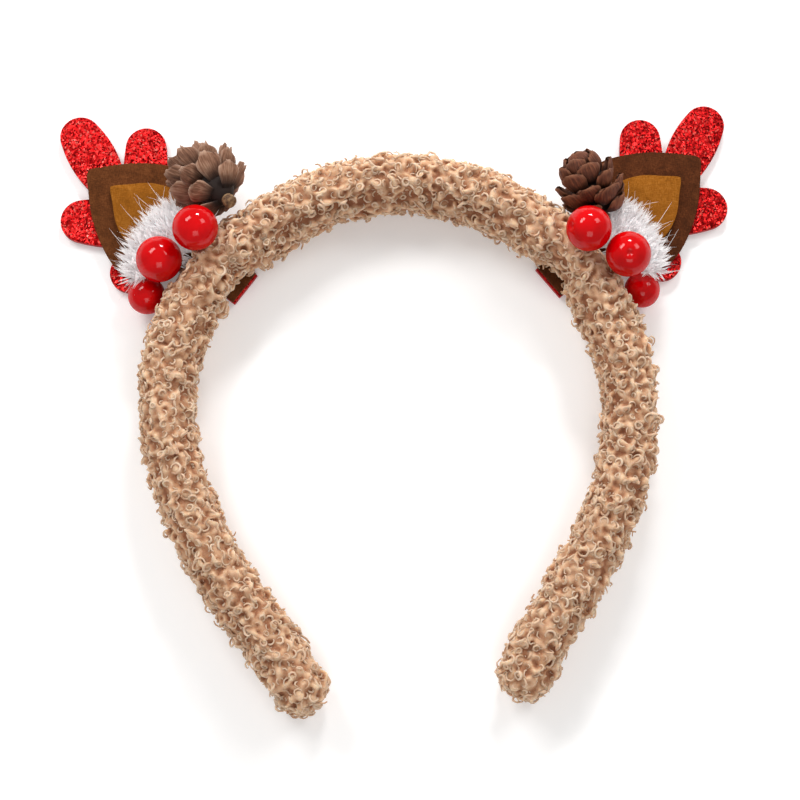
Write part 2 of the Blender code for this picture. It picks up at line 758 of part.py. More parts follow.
def fur_tuft(side, size, parent):
    """A flattened cushion of fur with locks round its edge: its X runs away from the band."""
    half_length, half_width, half_height = (v / 2 * size for v in (TUFT_LENGTH, TUFT_WIDTH, TUFT_HEIGHT))
    shape = bmesh.new()
    bmesh.ops.create_uvsphere(shape, u_segments=16, v_segments=8, radius=1.0)
    squeeze = Matrix.Diagonal((half_width, half_length, half_height))
    bmesh.ops.transform(shape, matrix=squeeze.to_4x4(), verts=shape.verts)
    tuft = place_mesh(f"{side}_fur_tuft", mesh_from(shape, "tuft"), parent, white_fur)
    locks = bpy.data.collections.new(f"{side} locks")
    cutters.children.link(locks)
    for i in range(LOCKS):
        turn = math.radians(LOCK_FAN_DEG * (i / (LOCKS - 1) - 0.5))
        tier = i % len(LOCK_LIFTS)
        edge = Vector((half_width * math.cos(turn), half_length * math.sin(turn), 0)) * LOCK_ROOT_SHARE
        way = Vector((math.cos(turn), math.sin(turn), LOCK_LIFTS[tier]))
        vary = 1.0 + LOCK_VARIATION * noise.noise(edge / LUMP_PITCH)
        length = LOCK_LENGTH * size * vary + half_width * LOCK_ROOT_DEPTH
        root = edge + Vector((0, 0, half_height * LOCK_ROOT_RISE * tier))
        mesh = fur_lock(root, way.normalized(), length, LOCK_WIDTH * size)
        lock = bpy.data.objects.new(f"{side}_lock_{i}", mesh)
        lock.parent = tuft
        locks.objects.link(lock)
        lock.hide_render = True
        lock.display_type = "WIRE"
    boolean(tuft, "UNION", locks)
    return tuft


for side, past_deg, size in TUFTS:
    sign, axis_deg, frame = frames[side]
    degrees = sign * (axis_deg + past_deg)
    radius = face_radius(degrees) + 2 * GAP + LUMP_HEIGHT + TUFT_WIDTH / 2 * size
    angle = math.radians(degrees)
    tuft = fur_tuft(side, size, headband)
    tuft.location = (
        radius * math.sin(angle),
        radius * math.cos(angle),
        INNER_FELT_TOP + GAP + TUFT_HEIGHT / 2 * size,
    )
    tuft.rotation_euler.z = math.pi / 2 - angle
    for seat in berry_seats[side] + [cone_seats[side]]:
        boolean(tuft, "DIFFERENCE", seat)

# The middle of the whole footprint goes to the origin
bpy.context.view_layer.update()
graph = bpy.context.evaluated_depsgraph_get()
solids = [obj.evaluated_get(graph) for obj in parts.objects if obj.type == "MESH"]
points = [solid.matrix_world @ vert.co for solid in solids for vert in solid.data.vertices]
for axis in (0, 1):
    reach = [point[axis] for point in points]
    headband.location[axis] = -(min(reach) + max(reach)) / 2
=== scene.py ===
# Reindeer antler headband, lying on its back with its decorated front up
import json
import math
import random

import bmesh
import bpy
import numpy as np
from mathutils import Euler, Matrix, Vector, kdtree, noise


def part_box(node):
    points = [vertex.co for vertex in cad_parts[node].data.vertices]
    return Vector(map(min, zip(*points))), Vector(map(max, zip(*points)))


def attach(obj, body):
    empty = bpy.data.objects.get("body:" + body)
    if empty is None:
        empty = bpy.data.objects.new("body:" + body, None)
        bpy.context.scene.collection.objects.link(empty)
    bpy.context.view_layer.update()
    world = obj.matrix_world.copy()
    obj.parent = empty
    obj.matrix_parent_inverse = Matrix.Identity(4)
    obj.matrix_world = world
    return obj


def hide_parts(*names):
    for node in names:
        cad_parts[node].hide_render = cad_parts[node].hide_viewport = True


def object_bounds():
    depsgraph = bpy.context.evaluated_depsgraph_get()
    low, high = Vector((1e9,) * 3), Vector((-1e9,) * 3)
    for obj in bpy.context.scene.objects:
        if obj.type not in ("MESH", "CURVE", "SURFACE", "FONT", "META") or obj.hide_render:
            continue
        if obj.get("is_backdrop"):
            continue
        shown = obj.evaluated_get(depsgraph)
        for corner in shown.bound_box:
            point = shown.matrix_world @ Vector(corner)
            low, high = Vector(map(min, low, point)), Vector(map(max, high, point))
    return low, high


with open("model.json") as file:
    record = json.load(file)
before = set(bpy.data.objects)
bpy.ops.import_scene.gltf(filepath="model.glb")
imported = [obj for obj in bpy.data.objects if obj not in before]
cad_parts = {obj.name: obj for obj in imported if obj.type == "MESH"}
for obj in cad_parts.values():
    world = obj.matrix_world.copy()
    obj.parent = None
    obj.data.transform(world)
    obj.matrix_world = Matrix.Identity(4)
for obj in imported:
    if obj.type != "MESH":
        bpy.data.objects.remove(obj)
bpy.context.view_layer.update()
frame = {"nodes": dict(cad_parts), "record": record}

# Fleece hoop
# A stiff plastic bow in soft padding, wrapped in beige sherpa and glued shut along the back. Steam has
# rolled the polyester pile into plump locks 3 to 5 mm across that have felted into one soft mass.
INNER_RADIUS = 0.0576
# The padding is the solid drawn in, for the locks to stand on, and they are felted to an even grain
PADDING_INSET = 0.0021
PADDING_GRAIN = 0.0010
LOCK_KINDS = (
    # radius, thickness, turns, flatness, how_many
    (0.00125, 0.0015, 0.95, 0.90, 5),
    (0.00180, 0.0016, 0.60, 0.90, 4),
    (0.00070, 0.0030, 0.50, 0.80, 4),
)
LOCK_SPACING = 0.00225
FELTED_GRAIN = 0.00058
FELTED_SHARE = 0.62
TABLE_CLEARANCE = 0.0003
# Creases and curls are what lies below or above a surface that was evened over so many rounds
CREASE_ROUNDS = 60
CREASE_DEPTH = 0.0008
CREASE_THINNING = 0.7
# How much painted shade darkens the felt along the creases
CREASE_SHADE = 0.30
CURL_ROUNDS = 14
CURL_DEPTH = 0.0011

seat = next(mount for mount in frame["record"]["mounts"] if mount["name"] == "head_seat")
HOOP_CENTRE = Vector((seat["pos_m"][0], seat["pos_m"][1] - INNER_RADIUS, 0.0))


def linear(hex_colour):
    """A linear colour from an sRGB hex value."""
    channels = [int(hex_colour[i : i + 2], 16) / 255 for i in (0, 2, 4)]
    return [c / 12.92 if c <= 0.04045 else ((c + 0.055) / 1.055) ** 2.4 for c in channels] + [1.0]


def add(tree, kind, inputs=None, stops=(), **settings):
    """Adds a node. An input, by name or place, takes a value, a socket or a node's first output."""
    node = tree.nodes.new(kind)
    for key, value in settings.items():
        setattr(node, key, value)
    for key, value in (inputs or {}).items():
        value = value.outputs[0] if isinstance(value, bpy.types.Node) else value
        if isinstance(value, bpy.types.NodeSocket):
            tree.links.new(value, node.inputs[key])
        else:
            node.inputs[key].default_value = value
    if stops:
        elements = node.color_ramp.elements
        while len(elements) < len(stops):
            elements.new(0.5)
        for element, (place, colour) in zip(elements, stops):
            element.position = place
            element.color = linear(colour)
    return node


def finish(name, **constants):
    """A Principled material with the constants set on its shader: (material, tree, shader)."""
    made = bpy.data.materials.new(name)
    made.use_nodes = True
    shader = made.node_tree.nodes["Principled BSDF"]
    for key, value in constants.items():
        shader.inputs[key.replace("_", " ")].default_value = value
    return made, made.node_tree, shader


def welded(node):
    """A CAD node's triangles as one closed bmesh."""
    shape = bmesh.new()
    shape.from_mesh(frame["nodes"][node].data)
    bmesh.ops.remove_doubles(shape, verts=shape.verts, dist=1e-6)
    shape.normal_update()
    return shape


def piece(name, shape, material=None, sharp_deg=180):
    """A new object at the origin from a bmesh, shaded smooth up to an angle."""
    mesh = bpy.data.meshes.new(name)
    shape.to_mesh(mesh)
    shape.free()
    mesh.shade_smooth()
    if sharp_deg < 180:
        mesh.set_sharp_from_angle(angle=math.radians(sharp_deg))
    obj = bpy.data.objects.new(name, mesh)
    bpy.context.scene.collection.objects.link(obj)
    if material:
        mesh.materials.append(material)
    return obj


def settled(obj):
    """Turns an object's live modifiers into plain mesh."""
    graph = bpy.context.evaluated_depsgraph_get()
    mesh = bpy.data.meshes.new_from_object(obj.evaluated_get(graph))
    obj.modifiers.clear()
    obj.data = mesh
    return obj


def fixed(obj, slot, *nodes):
    """The piece lies on the one body and stands for these CAD nodes; the slot argument is not used."""
    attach(obj, "root")
    if nodes:
        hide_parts(*nodes)
    return obj


def ground_of(name, node, inset, grain, soften):
    """A CAD solid drawn in by an inset and remeshed to an even grain, for pile to stand on."""
    shape = welded(node)
    for vert in shape.verts:
        vert.co -= vert.normal * inset
    ground = piece(name, shape)
    remesh = ground.modifiers.new("even grain", "REMESH")
    remesh.mode = "VOXEL"
    remesh.voxel_size = grain
    smooth = ground.modifiers.new("softened", "SMOOTH")
    smooth.iterations = soften
    return settled(ground)


# Felted locks: dyed polyester fibre, steamed. Matt and soft, as light goes some way into it. Its colour
# holds painted light, pale where it curls up, and painted shade, tan in the hollows and along the creases.
# Single fibres are too fine to show, so they are drawn as bunches about 1 mm apart.
FIBRE_BUNCH_MM = 1.111
felted_wool, tree, shader = finish(
    "felted sherpa locks, dyed polyester",
    Roughness=0.8,
    Specular_IOR_Level=0.15,
    Subsurface_Weight=0.9,
    Subsurface_Scale=0.0022,
    Subsurface_Radius=(1.0, 0.80, 0.64),
)
place = add(tree, "ShaderNodeTexCoord").outputs["Object"]
relief_light_shade = add(tree, "ShaderNodeAttribute", attribute_name="relief_light_shade").outputs["Fac"]
fibres = add(
    tree,
    "ShaderNodeTexNoise",
    {"Vector": place, "Scale": 1000 / FIBRE_BUNCH_MM, "Detail": 5.0, "Distortion": 2.5},
)
tone = add(tree, "ShaderNodeMath", {0: fibres, 1: 0.50, 2: -0.25}, operation="MULTIPLY_ADD")
# Painted light and shade from the relief: paler on curls, darker in hollows and along creases
tone = add(tree, "ShaderNodeMath", {0: tone, 1: relief_light_shade}, operation="ADD")
colour = add(
    tree,
    "ShaderNodeValToRGB",
    {"Fac": tone},
    stops=((0.05, "9C674A"), (0.30, "B58463"), (0.50, "C59B7A"), (0.72, "D0AA8B"), (1.0, "DDBFA1")),
)
bump = add(tree, "ShaderNodeBump", {"Height": fibres, "Strength": 0.6, "Distance": 0.00030})
tree.links.new(colour.outputs[0], shader.inputs["Base Color"])
tree.links.new(bump.outputs[0], shader.inputs["Normal"])


def strand(shape, points, radii, sides, normal=None, flatness=1.0):
    """Adds a tapered tube through points, closed at both ends, its UV running along and round it."""
    uv = shape.loops.layers.uv.verify()
    rings = []
    for i, point in enumerate(points):
        ahead = (points[min(i + 1, len(points) - 1)] - points[max(i - 1, 0)]).normalized()
        normal = ahead.orthogonal() if normal is None else normal
        normal = (normal - ahead * normal.dot(ahead)).normalized()
        across = ahead.cross(normal)
        ring = []
        for k in range(sides):
            angle = 2 * math.pi * k / sides
            spoke = normal * math.cos(angle) + across * (math.sin(angle) * flatness)
            ring.append(shape.verts.new(point + spoke * radii[i]))
        rings.append(ring)
    last = len(rings) - 1
    for i in range(last):
        for k in range(sides):
            j = (k + 1) % sides
            face = shape.faces.new((rings[i][k], rings[i][j], rings[i + 1][j], rings[i + 1][k]))
            corners = ((i, k), (i, k + 1), (i + 1, k + 1), (i + 1, k))
            for loop, (along, turn) in zip(face.loops, corners):
                loop[uv].uv = (along / last, turn / sides)
    for ring, along in ((rings[0][::-1], 0.0), (rings[-1], 1.0)):
        for loop in shape.faces.new(ring).loops:
            loop[uv].uv = (along, 0.5)


def kept_aside(name, shapes):
    """A collection of small shapes for a scatter to pick from, outside the scene."""
    group = bpy.data.collections.new(name)
    for i, shape in enumerate(shapes):
        mesh = bpy.data.meshes.new(f"{name} {i}")
        shape.to_mesh(mesh)
        shape.free()
        mesh.shade_smooth()
        group.objects.link(bpy.data.objects.new(f"{name} {i}", mesh))
    return group


def scatter_tree():
    """Geometry Nodes: small shapes scattered over a ground at an even spacing, leaning and spinning."""
    tree = bpy.data.node_groups.new("pile on a ground", "GeometryNodeTree")
    for name, kind in (
        ("Ground", "Geometry"),
        ("Shapes", "Collection"),
        ("Spacing", "Float"),
        ("Least size", "Float"),
        ("Most size", "Float"),
        ("Tilt", "Float"),
        ("Lift", "Float"),
        ("Lean", "Vector"),
        ("Seed", "Int"),
        ("Material", "Material"),
    ):
        tree.interface.new_socket(name=name, in_out="INPUT", socket_type=f"NodeSocket{kind}")
    tree.interface.new_socket(name="Pile", in_out="OUTPUT", socket_type="NodeSocketGeometry")
    given = add(tree, "NodeGroupInput").outputs
    cover = add(tree, "GeometryNodeInputNamedAttribute", {"Name": "cover"}, data_type="FLOAT")
    points = add(
        tree,
        "GeometryNodeDistributePointsOnFaces",
        {
            "Mesh": given["Ground"],
            "Distance Min": given["Spacing"],
            "Density Max": 4.0e6,
            "Density Factor": cover.outputs["Attribute"],
            "Seed": given["Seed"],
        },
        distribute_method="POISSON",
    )
    normal = points.outputs["Normal"]
    way = add(tree, "ShaderNodeVectorMath", {0: normal, 1: given["Lean"]}, operation="ADD")
    upright = add(tree, "FunctionNodeAlignRotationToVector", {"Vector": way}, axis="Z")
    least = add(tree, "ShaderNodeMath", {0: given["Tilt"], 1: -1.0}, operation="MULTIPLY")
    low = add(tree, "ShaderNodeCombineXYZ", {0: least, 1: least, 2: -math.pi})
    high = add(tree, "ShaderNodeCombineXYZ", {0: given["Tilt"], 1: given["Tilt"], 2: math.pi})
    turn = {0: low, 1: high, 8: given["Seed"]}
    turn = add(tree, "FunctionNodeRandomValue", turn, data_type="FLOAT_VECTOR")
    turn = add(tree, "FunctionNodeEulerToRotation", {0: turn})
    turned = add(tree, "FunctionNodeRotateRotation", {0: upright, 1: turn}, rotation_space="LOCAL")
    size = {2: given["Least size"], 3: given["Most size"], 8: 11}
    size = add(tree, "FunctionNodeRandomValue", size, data_type="FLOAT")
    rise = add(tree, "FunctionNodeRandomValue", {2: -0.5, 3: 1.0, 8: 12}, data_type="FLOAT")
    lift = add(tree, "ShaderNodeMath", {0: rise.outputs[1], 1: given["Lift"]}, operation="MULTIPLY")
    offset = add(tree, "ShaderNodeVectorMath", {0: normal, "Scale": lift}, operation="SCALE")
    moved = add(tree, "GeometryNodeSetPosition", {"Geometry": points, "Offset": offset})
    pick = add(tree, "FunctionNodeRandomValue", {4: 0, 5: 99, 8: 13}, data_type="INT")
    placed = add(
        tree,
        "GeometryNodeInstanceOnPoints",
        {
            "Points": moved,
            "Instance": add(tree, "GeometryNodeCollectionInfo", {0: given["Shapes"], 1: True, 2: True}),
            "Pick Instance": True,
            "Instance Index": pick.outputs[2],
            "Rotation": turned,
            "Scale": size.outputs[1],
        },
    )
    shade = add(tree, "FunctionNodeRandomValue", {2: 0.0, 3: 1.0, 8: 14}, data_type="FLOAT")
    stored = add(
        tree,
        "GeometryNodeStoreNamedAttribute",
        {"Geometry": placed, "Name": "shade", "Value": shade.outputs[1]},
        data_type="FLOAT",
        domain="INSTANCE",
    )
    real = add(tree, "GeometryNodeRealizeInstances", {"Geometry": stored})
    dressed = add(tree, "GeometryNodeSetMaterial", {"Geometry": real, "Material": given["Material"]})
    add(tree, "NodeGroupOutput", {0: dressed})
    return tree


scatter = scatter_tree()


def scattered(name, ground, shapes, material, cover, **sizes):
    """A plain mesh of shapes strewn over a ground, as thickly as cover says at each of its vertices."""
    layer = ground.data.attributes.get("cover") or ground.data.attributes.new("cover", "FLOAT", "POINT")
    layer.data.foreach_set("value", [cover(vert) for vert in ground.data.vertices])
    pile = bpy.data.objects.new(name, ground.data)
    bpy.context.scene.collection.objects.link(pile)
    modifier = pile.modifiers.new("pile", "NODES")
    modifier.node_group = scatter
    keys = {item.name: item.identifier for item in scatter.interface.items_tree if item.in_out == "INPUT"}
    modifier[keys["Shapes"]] = shapes
    modifier[keys["Material"]] = material
    for key, value in sizes.items():
        modifier[keys[key.replace("_", " ")]] = value
    settled(pile)
    pile.data.name = name
    return pile


def wool_lock(seed, radius, thickness, turns, flatness, sides, steps):
    """One lock rolled about Z, its middle at the origin, thick at its root and fine at its tip."""
    rng = random.Random(seed)
    turns *= rng.uniform(0.8, 1.2)
    rise = radius * rng.uniform(0.1, 0.5)
    points, radii = [], []
    for i in range(steps + 1):
        t = i / steps
        angle = 2 * math.pi * turns * (t - 0.5)
        reach = radius * (1.10 - 0.45 * t)
        wander = Vector([rng.uniform(-1, 1) for _ in range(3)]) * radius * 0.07
        points.append(Vector((reach * math.cos(angle), reach * math.sin(angle), rise * (t - 0.5))) + wander)
        radii.append(thickness / 2 * (0.30 + 0.70 * math.sin(math.pi * min(0.18 + 0.76 * t, 1.0))))
    shape = bmesh.new()
    strand(shape, points, radii, sides, Vector((0, 0, 1)), flatness)
    return shape


# Where each tab comes out at the inner face and no curl covers it: degrees from the crown, half width
TABS = ((-52.8, 0.0014), (50.2, 0.0014))
TAB_REACH = 0.0610
TAB_TOP = 0.0062


def around(point):
    """Degrees from the crown, and distance from the middle of the hoop."""
    away = point.xy - HOOP_CENTRE.xy
    return math.degrees(math.atan2(away.x, away.y)), away.length


def clear_of_tabs(point):
    """1 where curls may stand, and 0 over a tab."""
    degrees, radius = around(point)
    for tab, half in TABS:
        beside = abs(math.radians(degrees - tab)) * radius
        if beside < half and radius < TAB_REACH and point.z < TAB_TOP:
            return 0.0
    return 1.0


def relief(mesh, rounds):
    """How far each vertex stands out from its evened surroundings, in metres."""
    count = len(mesh.vertices)
    places = np.empty(count * 3)
    mesh.vertices.foreach_get("co", places)
    places = places.reshape(-1, 3)
    normals = np.empty(count * 3)
    mesh.vertices.foreach_get("normal", normals)
    ends = np.empty(len(mesh.edges) * 2, int)
    mesh.edges.foreach_get("vertices", ends)
    ends = ends.reshape(-1, 2)
    degree = np.bincount(ends.ravel(), minlength=count)
    even = places.copy()
    for _ in range(rounds):
        total = np.empty_like(even)
        for axis in range(3):
            total[:, axis] = np.bincount(ends[:, 0], even[ends[:, 1], axis], count)
            total[:, axis] += np.bincount(ends[:, 1], even[ends[:, 0], axis], count)
        even = (even + total / degree[:, None]) / 2
    above = ((places - even) * normals.reshape(-1, 3)).sum(axis=1)
    return above - np.median(above)


padding = ground_of("fleece_padding", "fleece_band", PADDING_INSET, PADDING_GRAIN, 3)
creases = np.clip(-relief(padding.data, CREASE_ROUNDS) / CREASE_DEPTH, 0.0, 1.0)
nearest = kdtree.KDTree(len(creases))
for i, vert in enumerate(padding.data.vertices):
    nearest.insert(vert.co, i)
nearest.balance()

lock_shapes = []
for radius, thickness, turns, flatness, how_many in LOCK_KINDS:
    for _ in range(how_many):
        lock_shapes.append(wool_lock(len(lock_shapes), radius, thickness, turns, flatness, 8, 8))
locks = scattered(
    "fleece_locks",
    padding,
    kept_aside("wool lock", lock_shapes),
    felted_wool,
    lambda vert: clear_of_tabs(vert.co) * (1.0 - CREASE_THINNING * creases[vert.index]),
    Spacing=LOCK_SPACING,
    Least_size=0.80,
    Most_size=1.25,
    Tilt=math.radians(50),
    Lift=0.0008,
    Lean=(0.0, 0.0, 0.0),
    Seed=3,
)
shape = bmesh.new()
shape.from_mesh(padding.data)
shape.from_mesh(locks.data)
band = piece("fleece_ground", shape, felted_wool)
remesh = band.modifiers.new("felted together", "REMESH")
remesh.mode = "VOXEL"
remesh.voxel_size = FELTED_GRAIN
smooth = band.modifiers.new("softened", "SMOOTH")
smooth.iterations = 2
thinned = band.modifiers.new("fewer faces where it is even", "DECIMATE")
thinned.ratio = FELTED_SHARE
settled(band)
band.data.shade_smooth()
bpy.data.objects.remove(padding)
bpy.data.objects.remove(locks)
# Painted light and shade for the felt's colour: paler where it stands out, darker in hollows and along
# creases
curls = relief(band.data, CURL_ROUNDS) / CURL_DEPTH
relief_light_shades = []
for vert, curl in zip(band.data.vertices, curls):
    crease = creases[nearest.find(vert.co)[1]]
    relief_light_shades.append(min(max(0.5 + curl - CREASE_SHADE * crease, 0.0), 1.0))
    vert.co.z = max(vert.co.z, TABLE_CLEARANCE)
band.data.attributes.new("relief_light_shade", "FLOAT", "POINT").data.foreach_set("value", relief_light_shades)
fixed(band, "sherpa_fleece", "fleece_band")


# Fleece wisps
# Fine ends of the pile that stand clear of the felted locks and curl over them as thin bright rims.
# Where the hoop lies on the table they are pressed flat.
WISP_KINDS = (
    # radius, thickness, turns, flatness, how_many
    (0.00110, 0.00084, 1.05, 0.90, 5),
    (0.00150, 0.00078, 0.85, 0.90, 4),
    (0.00180, 0.00066, 0.60, 0.90, 2),
)
WISP_SPACING = 0.00230
WISP_STRETCHES = (
    # name, from_degrees, to_degrees
    ("left_leg", -180, -96),
    ("left_side", -96, -40),
    ("crown", -40, 40),
    ("right_side", 40, 96),
    ("right_leg", 96, 180),
)
PRESSED_HEIGHT = 0.0004
PRESSED_SHARE = 0.08
LEAST_HEIGHT = 0.00005

# Wisps: the same dyed polyester, a few fibres thick, streaked along its length, with painted shade at its
# root.
# Painted light makes it paler at its two edges, in place of light coming through. It drifts in tone over
# about 7 mm.
TONE_DRIFT_MM = 7.143
wisp_wool, tree, shader = finish(
    "fine sherpa wisps, steamed polyester",
    Roughness=0.5,
    Sheen_Weight=0.1,
    Sheen_Roughness=0.4,
    Specular_IOR_Level=0.2,
    Subsurface_Weight=0.4,
    Subsurface_Scale=0.0006,
    Subsurface_Radius=(1.0, 0.80, 0.64),
)
shade = add(tree, "ShaderNodeAttribute", attribute_name="shade").outputs["Fac"]
coords = add(tree, "ShaderNodeTexCoord").outputs
lengthwise = add(tree, "ShaderNodeMapping", {0: coords["UV"], "Scale": (1.2, 18.0, 1.0)})
own = add(tree, "ShaderNodeMath", {0: shade, 1: 37.0}, operation="MULTIPLY")
streaks = add(
    tree,
    "ShaderNodeTexNoise",
    {"Vector": lengthwise, "W": own, "Scale": 1.6, "Detail": 2.0},
    noise_dimensions="4D",
)
drift = add(
    tree, "ShaderNodeTexNoise", {"Vector": coords["Object"], "Scale": 1000 / TONE_DRIFT_MM, "Detail": 2.0}
)
tone = add(tree, "ShaderNodeMath", {0: shade, 1: 0.25, 2: 0.05}, operation="MULTIPLY_ADD")
tone = add(tree, "ShaderNodeMath", {0: streaks, 1: 0.55, 2: tone}, operation="MULTIPLY_ADD")
tone = add(tree, "ShaderNodeMath", {0: drift, 1: 0.5, 2: tone}, operation="MULTIPLY_ADD")
colour = add(
    tree, "ShaderNodeValToRGB", {"Fac": tone}, stops=((0.40, "D1AB8B"), (0.70, "DCBC9E"), (1.0, "EBD2B8"))
)
ways = add(tree, "ShaderNodeSeparateXYZ", {0: coords["UV"]}).outputs
turn = add(tree, "ShaderNodeMath", {0: ways[1], 1: 2 * math.pi}, operation="MULTIPLY")
turn = add(tree, "ShaderNodeMath", {0: turn}, operation="COSINE")
turn = add(tree, "ShaderNodeMath", {0: turn}, operation="ABSOLUTE")
# Painted light: paler towards the two edges
edge = add(tree, "ShaderNodeMapRange", {"Value": turn, "From Min": 0.75, "From Max": 1.0, "To Max": 0.32})
lit = add(tree, "ShaderNodeMix", {0: edge, 6: colour, 7: linear("F0DCC8")}, data_type="RGBA")
# Painted shade: darker towards the root
root_shade = add(tree, "ShaderNodeMapRange", {"Value": ways[0], "From Min": 0.0, "From Max": 0.35})
root_shaded = add(tree, "ShaderNodeMix", {0: root_shade, 6: linear("C59A78"), 7: lit.outputs[2]}, data_type="RGBA")
bump = add(tree, "ShaderNodeBump", {"Height": streaks, "Strength": 0.7, "Distance": 0.00025})
tree.links.new(root_shaded.outputs[2], shader.inputs["Base Color"])
tree.links.new(bump.outputs[0], shader.inputs["Normal"])

wisp_shapes = []
for radius, thickness, turns, flatness, how_many in WISP_KINDS:
    for _ in range(how_many):
        wisp_shapes.append(wool_lock(len(wisp_shapes), radius, thickness, turns, flatness, 4, 9))
wisp_group = kept_aside("wool wisp", wisp_shapes)

for name, first, last in WISP_STRETCHES:

    def cover(vert):
        degrees = around(vert.co)[0]
        return clear_of_tabs(vert.co) if first <= degrees < last else 0.0

    wisps = scattered(
        f"fleece_wisps_{name}",
        band,
        wisp_group,
        wisp_wool,
        cover,
        Spacing=WISP_SPACING,
        Least_size=0.75,
        Most_size=1.20,
        Tilt=math.radians(30),
        Lift=-0.0001,
        Lean=(0.0, 0.0, 0.0),
        Seed=4,
    )
    for vert in wisps.data.vertices:
        if vert.co.z < PRESSED_HEIGHT:
            pressed = PRESSED_HEIGHT + (vert.co.z - PRESSED_HEIGHT) * PRESSED_SHARE
            vert.co.z = max(LEAST_HEIGHT, pressed)
    fixed(wisps, "sherpa_fleece")


# Antlers and ears
# Die-cut sheets stacked from the back: 2 mm craft foam faced with coarse red glitter, then pressed felt
# in dark brown and golden brown. Die cutting rounds their rims a little and leaves the foam's side plain.
CUT_ROUND = 0.00022
LEAST_SIDE = 0.00002
ROUND_EDGE_DEG = 55


def outline_of(node):
    """The outline of a CAD sheet, in order, and its two heights."""
    shape = welded(node)
    top = max(vert.co.z for vert in shape.verts)
    bottom = min(vert.co.z for vert in shape.verts)
    ahead = {}
    for edge in shape.edges:
        if all(abs(vert.co.z - top) < 1e-6 for vert in edge.verts):
            upper = [face for face in edge.link_faces if face.normal.z > 0.5]
            if len(upper) == 1:
                loop = next(loop for loop in edge.link_loops if loop.face == upper[0])
                ahead[loop.vert.index] = loop.link_loop_next.vert.index
    points = {vert.index: vert.co.xy.copy() for vert in shape.verts}
    shape.free()
    start = here = next(iter(ahead))
    outline = []
    while not outline or here != start:
        outline.append(points[here])
        here = ahead[here]
    return outline, bottom, top


def eased(outline, rounds=2, corner_deg=38):
    """The outline with its arcs made smooth by halving each side, and its corners kept."""
    for _ in range(rounds):
        count = len(outline)

        def turning(i):
            before = outline[i] - outline[i - 1]
            after = outline[(i + 1) % count] - outline[i]
            return math.degrees(abs(before.angle_signed(after, 0.0)))

        finer = []
        for i in range(count):
            a, b = outline[i], outline[(i + 1) % count]
            side = (b - a).length
            before, after = outline[i - 1] - a, outline[(i + 2) % count] - b
            before = (a - b) if turning(i) > corner_deg else before
            after = (b - a) if turning((i + 1) % count) > corner_deg else after
            before = before * min(1.0, side / max(before.length, 1e-9))
            after = after * min(1.0, side / max(after.length, 1e-9))
            finer += [a, (a + b) / 2 - (before + after) / 16]
        outline = finer
    return outline


def cut_sheet(name, node, material, wall_material=None):
    """A sheet with a slightly rounded rim, cut to a CAD node's outline."""
    outline, bottom, top = outline_of(node)
    outline = eased(outline)
    outline = [p for i, p in enumerate(outline) if (p - outline[i - 1]).length > LEAST_SIDE]
    count = len(outline)
    inward = []
    for i in range(count):
        along = (outline[(i + 1) % count] - outline[i - 1]).normalized()
        inward.append(Vector((-along.y, along.x)))
    shape = bmesh.new()
    rings = []
    for inset, z in (
        (CUT_ROUND, bottom),
        (0.3 * CUT_ROUND, bottom + 0.3 * CUT_ROUND),
        (0.0, bottom + CUT_ROUND),
        (0.0, top - CUT_ROUND),
        (0.3 * CUT_ROUND, top - 0.3 * CUT_ROUND),
        (CUT_ROUND, top),
    ):
        rings.append([shape.verts.new((*(p + way * inset), z)) for p, way in zip(outline, inward)])
    for number, (ring, after) in enumerate(zip(rings, rings[1:])):
        for i in range(count):
            j = (i + 1) % count
            face = shape.faces.new((ring[i], ring[j], after[j], after[i]))
            face.material_index = 1 if wall_material and number < 4 else 0
    under = shape.faces.new(rings[0][::-1])
    under.material_index = 1 if wall_material else 0
    shape.faces.new(rings[-1])
    sheet = piece(name, shape, material, sharp_deg=ROUND_EDGE_DEG)
    if wall_material:
        sheet.data.materials.append(wall_material)
    return sheet


# Glitter: flakes of metallised film in red glue, which flash or go dark by their tilt. The flakes are
# about 0.5 mm across. The right antler's copy is the same glitter made darker as painted shade, where less
# light falls.
FLAKE_MM = 0.476


def glitter_film(name, *stops):
    """Flakes of metallised film set in red glue at random tilts."""
    made, tree, shader = finish(name, Metallic=0.55, Roughness=0.34, Specular_IOR_Level=0.1)
    place = add(tree, "ShaderNodeTexCoord").outputs["Object"]
    flakes = add(
        tree, "ShaderNodeTexVoronoi", {"Vector": place, "Scale": 1000 / FLAKE_MM, "Randomness": 1.0}
    ).outputs["Color"]
    tilt = add(tree, "ShaderNodeVectorMath", {0: flakes, 1: (0.5, 0.5, 0.5)}, operation="SUBTRACT")
    normal = add(tree, "ShaderNodeNewGeometry").outputs["Normal"]
    leaning = add(
        tree, "ShaderNodeVectorMath", {0: tilt, 1: (1.5, 1.5, 0.6), 2: normal}, operation="MULTIPLY_ADD"
    )
    facing = add(tree, "ShaderNodeVectorMath", {0: leaning}, operation="NORMALIZE")
    each = add(tree, "ShaderNodeSeparateColor", {0: flakes})
    colour = add(tree, "ShaderNodeValToRGB", {"Fac": each.outputs[1]}, stops=stops)
    tree.links.new(facing.outputs[0], shader.inputs["Normal"])
    tree.links.new(colour.outputs[0], shader.inputs["Base Color"])
    return made


glitter = {
    "left": glitter_film(
        "coarse red glitter, metallised film flakes",
        (0.0, "7C0206"), (0.25, "BA0A0E"), (0.6, "E61C1E"), (0.9, "F43A36"), (1.0, "FF7C70"),
    ),
    # The same glitter, darkened as painted shade
    "right": glitter_film(
        "coarse deep red glitter, metallised film flakes",
        (0.0, "6A0104"), (0.25, "9E070A"), (0.6, "C81416"), (0.9, "DE2A28"), (1.0, "F46A5E"),
    ),
}

